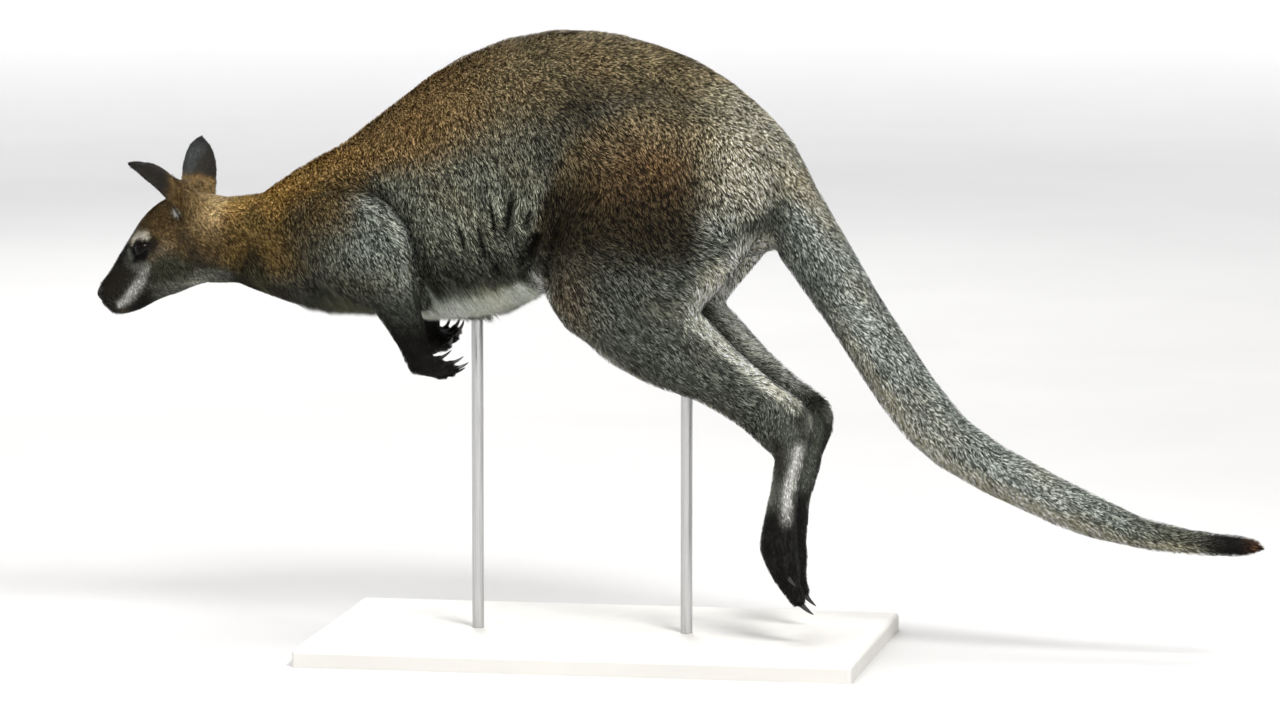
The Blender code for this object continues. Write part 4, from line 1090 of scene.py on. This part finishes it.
def read_skin(surface, labels, hidden):
    """Everything that the coat needs to know at every point of the skin."""
    mesh = surface.obj.data
    mesh.calc_loop_triangles()
    triangles = read(mesh.loop_triangles, "vertices", 3, np.int32)
    smooth = unit(surface.averaged(surface.normals(), 6))
    points = surface.points
    height = trunk_height(points)
    fine = named(labels, "head", "hand", "foot")
    colours = markings_with_painted_light(points, smooth, labels,
                       lambda share: surface.averaged(share, 12, 1 - 0.85 * fine)[:, 0])
    colours = surface.averaged(colours, 3, 1 - 0.6 * fine)
    skin = {key: surface.averaged(by_part(labels, key), 14)[:, 0]
            for key in ("density", "length", "width", "contrast", "depth")}
    stand_off = surface.averaged(by_part(labels, "stand"), 10)[:, 0]
    nose = spot(points, NOSE, (0.016, 0.012, 0.012))
    front = step(points[:, 1], EYE[1] + 0.02, NOSE[1] + 0.01) * named(labels, "head")
    skin["length"] *= 1 - 0.45 * front
    skin["width"] *= 1 - 0.25 * front
    skin["density"] *= 1 - step(nose, 0.3, 0.55)
    belly = step(height, 0.2, 0.09) * named(labels, "belly", "chest")
    skin["length"] *= 1 + 0.75 * belly
    skin["contrast"] *= 1 - 0.6 * belly
    # painted shade in the depth of the folds and the hollows, with the dark roots of the parted
    # coat
    folds, lips = in_folds(points, smooth)
    # painted light on the lips of the folds, and painted light and shade over the rucks
    light = 1 + FOLD_LIGHT * lips + RUCK_SHADE * rucks(points, height)
    skin["length"] *= 1 - 0.45 * folds
    skin.update(points=points, normals=smooth, labels=labels, hidden=hidden, triangles=triangles,
                colours=colours * ((1 - FOLD_SHADE * folds) * light)[:, None], hang=HANG * belly,
                rise=skin["depth"] * stand_off * (1 - 0.6 * folds),
                lie=lie_of_coat(points, smooth, labels), bare=step(nose, 0.3, 0.5))
    return skin


# -------- materials


def grey(value):
    return (value, value, value)


class Look:
    """A node material in the making. An input is a value or another node's output."""

    def __init__(self, name):
        self.made = bpy.data.materials.new(name)
        self.made.use_nodes = True
        tree = self.made.node_tree
        self.nodes, self.links = tree.nodes, tree.links
        self.shader = self.nodes["Principled BSDF"]
        self.where = self.node("TexCoord").outputs["Object"]

    def node(self, kind, inputs=(), **settings):
        made = self.nodes.new("ShaderNode" + kind)
        for key, value in settings.items():
            setattr(made, key, value)
        self.feed(made, inputs)
        return made

    def feed(self, node, inputs):
        for key, value in dict(inputs).items():
            if isinstance(value, bpy.types.NodeSocket):
                self.links.new(value, node.inputs[key])
            else:
                node.inputs[key].default_value = value

    def shade(self, **inputs):
        """Sets the shader's inputs, such as Base_Color."""
        self.feed(self.shader, {key.replace("_", " "): inputs[key] for key in inputs})
        return self.made

    def noise(self, scale, detail=3.0, roughness=0.55, where=None):
        return self.node("TexNoise", {"Scale": scale, "Detail": detail, "Roughness": roughness,
                                      "Vector": where or self.where}).outputs["Fac"]

    def ramp(self, value, *stops):
        made = self.node("ValToRGB", {"Fac": value})
        band = made.color_ramp
        while len(band.elements) < len(stops):
            band.elements.new(0.5)
        for element, (place, colour) in zip(band.elements, stops):
            element.position = place
            element.color = (*colour, 1)
        return made.outputs["Color"]

    def multiplied(self, first, second):
        made = self.node("Mix", {"Factor": 1.0, "A": first, "B": second}, data_type="RGBA",
                         blend_type="MULTIPLY")
        return made.outputs["Result"]

    def bump(self, height, strength, distance):
        return self.node("Bump", {"Strength": strength, "Distance": distance,
                                  "Height": height}).outputs["Normal"]


def coat_material():
    look = Look("coat")
    colour = look.node("VertexColor", layer_name="coat_colour").outputs["Color"]
    mottle = look.ramp(look.noise(140.0), (0.3, grey(0.74)), (0.7, grey(1.0)))
    bands = look.ramp(look.noise(620.0, 2.0), (0.36, grey(0.48)), (0.5, grey(0.86)),
                      (0.64, grey(1.0)))
    facing = look.node("Attribute", attribute_name="coat_facing").outputs["Vector"]
    toned_hair = look.multiplied(look.multiplied(colour, mottle), bands)
    return look.shade(Base_Color=toned_hair, Normal=facing, Roughness=0.55,
                      Specular_IOR_Level=0.08)


def skin_material():
    look = Look("skin")
    colour = look.node("VertexColor", layer_name="coat_colour").outputs["Color"]
    grain = look.ramp(look.noise(900.0, 4.0, 0.65), (0.36, grey(0.3)), (0.52, grey(0.62)),
                      (0.64, grey(1.0)))
    pores = look.node("TexVoronoi", {"Scale": 1400.0, "Vector": look.where}).outputs["Distance"]
    return look.shade(Base_Color=look.multiplied(colour, grain), Roughness=0.55,
                      Specular_IOR_Level=0.22, Normal=look.bump(pores, 0.55, 0.0004))


def eye_material(side):
    """Black pupil in a dark brown iris, by the distance from the eye's axis."""
    look = Look("eye")
    _, forward, up = eye_axes(side)
    away = look.node("VectorMath", {0: look.where, 1: EYE * (side, 1, 1)}, operation="SUBTRACT")
    squares = []
    for axis, reach in ((forward, 0.0066), (up, 0.006)):
        dot = look.node("VectorMath", {0: away.outputs["Vector"], 1: axis / reach},
                        operation="DOT_PRODUCT")
        square = look.node("Math", {0: dot.outputs["Value"], 1: 2.0}, operation="POWER")
        squares.append(square.outputs["Value"])
    total = look.node("Math", {0: squares[0], 1: squares[1]}, operation="ADD")
    iris = look.ramp(total.outputs["Value"], (0.0, grey(0.003)), (0.22, grey(0.004)),
                     (0.34, (0.007, 0.004, 0.002)), (0.8, (0.005, 0.003, 0.002)),
                     (1.0, grey(0.003)))
    rays = look.ramp(look.noise(1500.0), (0.3, grey(0.6)), (0.7, grey(1.0)))
    return look.shade(Base_Color=look.multiplied(iris, rays), Roughness=0.05,
                      Specular_IOR_Level=0.05)


def horn_material(name, dark, light, scale):
    look = Look(name)
    grain = look.noise(scale, 4.0)
    return look.shade(Base_Color=look.ramp(grain, (0.35, dark), (0.7, light)), Roughness=0.36,
                      Normal=look.bump(grain, 0.35, 0.0003))


def board_material():
    look = Look("painted_board")
    clouds = look.ramp(look.noise(9.0, 5.0), (0.3, (0.5, 0.485, 0.455)),
                       (0.7, (0.54, 0.525, 0.495)))
    dull = look.ramp(look.noise(40.0), (0.3, grey(0.48)), (0.7, grey(0.62)))
    return look.shade(Base_Color=clouds, Roughness=dull,
                      Normal=look.bump(look.noise(700.0), 0.12, 0.0002))


def rod_material():
    look = Look("brushed_rod")
    stretch = look.node("Mapping", {"Scale": (900.0, 900.0, 12.0), "Vector": look.where})
    strokes = look.noise(1.0, where=stretch.outputs["Vector"])
    return look.shade(Base_Color=look.ramp(strokes, (0.3, grey(0.46)), (0.7, grey(0.6))),
                      Roughness=look.ramp(strokes, (0.3, grey(0.26)), (0.7, grey(0.42))),
                      Metallic=1.0)


def floor_material():
    look = Look("studio_floor")
    reach = look.node("VectorMath", {0: look.where}, operation="LENGTH").outputs["Value"]
    share = look.node("Math", {0: reach, 1: PALE_REACH}, operation="DIVIDE").outputs["Value"]
    wide = look.ramp(share, (0.2, (0.45, 0.445, 0.435)), (0.95, (0.86, 0.855, 0.845)))
    clouds = look.ramp(look.noise(3.0), (0.3, grey(0.96)), (0.7, grey(1.0)))
    glow = look.ramp(share, (0.3, grey(0.0)),
                     (1.0, (BACKDROP_GLOW, BACKDROP_GLOW, 1.02 * BACKDROP_GLOW)))
    return look.shade(Base_Color=look.multiplied(wide, clouds), Roughness=0.85,
                      Emission_Color=glow, Emission_Strength=1.0)


# -------- eyes, claws, whiskers

CORNEA_RISE = 0.0004        # how far the front of the eyeball stands out
BRISTLE = 0.00016           # radius of a whisker at its root
BRISTLE_TIP = 0.00003
DROOP = Vector((0.0, 0.0875, -0.1225))      # bend of a whisker of unit length, at its tip


def build_eye(side):
    name = "eyeball_left" if side > 0 else "eyeball_right"
    out, forward, up = eye_axes(side)
    centre = Vector(EYE * (side, 1, 1))
    turn = Matrix((forward, up, out)).transposed().to_4x4()
    bm = bmesh.new()
    bmesh.ops.create_uvsphere(bm, u_segments=48, v_segments=32, radius=BALL_RADIUS)
    for vert in bm.verts:
        vert.co.z += CORNEA_RISE * step(vert.co.z, BALL_RADIUS * 0.72, BALL_RADIUS)
        vert.co = turn @ vert.co + centre
    bmesh.ops.recalc_face_normals(bm, faces=bm.faces)
    mesh = mesh_of(name, bm)
    smooth_faces(mesh)
    mesh.materials.append(eye_material(side))
    obj = new_object(name, mesh)
    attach(obj, "root")
    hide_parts("eye_left" if side > 0 else "eye_right")


def build_claws(starts, name, material):
    """Every claw of the hands or feet, rounded from its solid."""
    nodes = [node for node in SOLIDS if node.startswith(starts)]
    bm = swelled(nodes)
    bmesh.ops.join_triangles(bm, faces=bm.faces, angle_face_threshold=0.8,
                             angle_shape_threshold=3.1)
    obj = new_object(name, mesh_of(name, bm))
    rounding = obj.modifiers.new("round", "SUBSURF")
    rounding.levels = 2
    rounding.render_levels = 2
    applied(obj)
    smooth_faces(obj.data)
    obj.data.materials.append(material)
    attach(obj, "root")
    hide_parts(*nodes)


def whisker_roots(rng):
    """Start, direction, length and side of every whisker of the lips and brows."""
    for side in (1, -1):
        for row in range(3):
            for place in range(4):
                start = np.array((0.0125 + 0.0012 * place, -0.5035 + 0.0055 * place,
                                  0.342 + 0.003 * row + 0.0016 * place))
                way = (0.75, 0.35 + 0.08 * place, 0.02 - 0.1 * row)
                yield start, way, rng.uniform(0.014, 0.026), side
        for place in range(4):
            start = EYE + (0.002, -0.004 + 0.003 * place, 0.0125)
            yield start, (0.5, 0.3, 0.7), rng.uniform(0.008, 0.014), side


def build_whiskers(skin):
    """Fine tapered bristles that droop towards their tips."""
    rng = np.random.default_rng(71)
    bm = bmesh.new()
    for start, way, length, side in list(whisker_roots(rng)):
        nearest = np.argmin(np.sum((skin["points"] - start * (side, 1, 1)) ** 2, axis=1))
        root = Vector(skin["points"][nearest])
        way = Vector(way * np.array((side, 1, 1)) + 0.1 * rng.normal(size=3)).normalized()
        across = way.orthogonal().normalized()
        other = way.cross(across)
        rings = []
        for share in (0.0, 0.35, 0.7, 1.0):
            centre = root + way * length * share + DROOP * length * share ** 2
            radius = BRISTLE * (1 - share) + BRISTLE_TIP
            rings.append([bm.verts.new(centre + across * radius * math.cos(turn)
                                       + other * radius * math.sin(turn))
                          for turn in (0.0, 2.1, 4.2)])
        for low, high in zip(rings, rings[1:]):
            for i in range(3):
                bm.faces.new((low[i], low[(i + 1) % 3], high[(i + 1) % 3], high[i]))
        bm.faces.new(rings[-1])
        bm.faces.new(rings[0][::-1])
    obj = new_object("whiskers", mesh_of("whiskers", bm))
    obj.data.materials.append(horn_material("bristle", grey(0.01), grey(0.03), 300.0))
    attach(obj, "root")


# -------- studio and camera

VIEW_AZIMUTH = 100.0
VIEW_ELEVATION = 7.0
VIEW_DISTANCE = 7.0
VIEW_AIM = (0.0, -0.0343, -0.019)       # from the middle of the model's box
FOCAL_LENGTH = 196.9        # millimetres on a 36 mm sensor
FLOOR_REACH = 16.0          # radius of the flat floor, more than a far camera's distance
BACKDROP_CURVE = 2.5
BACKDROP_TOP = 11.8
PALE_REACH = 8.5            # distance from the middle at which the floor is palest
BACKDROP_GLOW = 0.42        # light of its own that keeps the far wall as pale as the floor
CURVE_STEPS = 12
RIM_SIDES = 96
# Lamps: place, size, power and whether they show as glints
LAMPS = {
    "key": ((2.6, 1.9, 3.6), 1.6, 290.0, True),
    "top": ((0.2, -0.6, 3.8), 2.2, 130.0, False),
    "fill": ((3.4, -2.8, 1.6), 3.0, 45.0, False),
    "back": ((-3.0, -1.2, 2.4), 2.0, 60.0, True),
}
LAMP_AIM = Vector((0.0, 0.0, 0.3))
SKY = (0.86, 0.87, 0.9, 1)
SKY_STRENGTH = 0.45


def add_camera():
    low, high = CAD_BOX
    aim = (low + high) / 2 + Vector(VIEW_AIM)
    turn, lift = math.radians(VIEW_AZIMUTH), math.radians(VIEW_ELEVATION)
    back = Vector((math.sin(turn) * math.cos(lift), -math.cos(turn) * math.cos(lift),
                   math.sin(lift)))
    data = bpy.data.cameras.new("camera")
    data.sensor_width = 36.0
    data.lens = FOCAL_LENGTH
    data.clip_end = 100.0
    camera = new_object("camera", data)
    camera.location = aim + back * VIEW_DISTANCE
    camera.rotation_euler = (-back).to_track_quat("-Z", "Y").to_euler()
    bpy.context.scene.camera = camera


def add_floor():
    """A round floor that curves up into a backdrop on every side."""
    rim = []
    for number in range(CURVE_STEPS + 1):
        turn = math.pi / 2 * number / CURVE_STEPS
        rim.append((FLOOR_REACH + BACKDROP_CURVE * math.sin(turn),
                    BACKDROP_CURVE * (1 - math.cos(turn))))
    rim.append((FLOOR_REACH + BACKDROP_CURVE, BACKDROP_TOP))
    turns = [2 * math.pi * side / RIM_SIDES for side in range(RIM_SIDES)]
    bm = bmesh.new()
    centre = bm.verts.new((0, 0, 0))
    rings = [[bm.verts.new((radius * math.cos(turn), radius * math.sin(turn), height))
              for turn in turns] for radius, height in rim]
    for side in range(RIM_SIDES):
        after = (side + 1) % RIM_SIDES
        bm.faces.new((centre, rings[0][side], rings[0][after]))
        for low, high in zip(rings, rings[1:]):
            bm.faces.new((low[side], high[side], high[after], low[after]))
    bmesh.ops.recalc_face_normals(bm, faces=bm.faces)
    mesh = mesh_of("studio_floor", bm)
    smooth_faces(mesh)
    mesh.materials.append(floor_material())
    new_object("studio_floor", mesh)


def add_lights():
    for name, (place, size, power, glints) in LAMPS.items():
        data = bpy.data.lights.new(name, "AREA")
        data.shape = "DISK"
        data.size = size
        data.energy = power
        light = new_object(name, data)
        light.location = place
        light.visible_glossy = glints
        way = LAMP_AIM - Vector(place)
        light.rotation_euler = way.to_track_quat("-Z", "Y").to_euler()
    world = bpy.data.worlds.new("studio")
    world.use_nodes = True
    sky = world.node_tree.nodes["Background"]
    sky.inputs["Color"].default_value = SKY
    sky.inputs["Strength"].default_value = SKY_STRENGTH
    bpy.context.scene.world = world
    bpy.context.scene.view_settings.view_transform = "Standard"


# -------- everything together

UNDERCOAT_SHADE = 0.62            # brightness of the skin under the coat, as a share of the coat's: painted shade of the coat over it


def main():
    surface, labels, hidden = build_skin()
    skin = read_skin(surface, labels, hidden)
    obj = surface.obj
    # painted shade of the coat on the skin, except where it is bare
    shade = UNDERCOAT_SHADE + (1 - UNDERCOAT_SHADE) * skin["bare"]
    painted(obj.data, skin["colours"] * shade[:, None])
    obj.data.materials.clear()
    obj.data.materials.append(skin_material())
    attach(obj, "root")
    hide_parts(*FLESH)

    coat = coat_material()
    for number, (name, starts) in enumerate(COATS.items()):
        piece = coat_piece(name, starts, skin, np.random.default_rng(100 + number))
        piece.data.materials.append(coat)
        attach(piece, "root")

    for side in (1, -1):
        build_eye(side)
    horn = horn_material("horn", (0.006, 0.0055, 0.005), (0.02, 0.018, 0.016), 350.0)
    build_claws("claw_hand", "hand_claws", horn)
    build_claws("claw_foot", "foot_claws", horn)
    build_whiskers(skin)

    board, rod = board_material(), rod_material()
    for node, obj in SOLIDS.items():
        if node.startswith("stand_"):
            obj.data.materials.clear()
            obj.data.materials.append(board if node == "stand_base" else rod)
    add_camera()
    add_floor()
    add_lights()
    bpy.context.view_layer.update()


main()
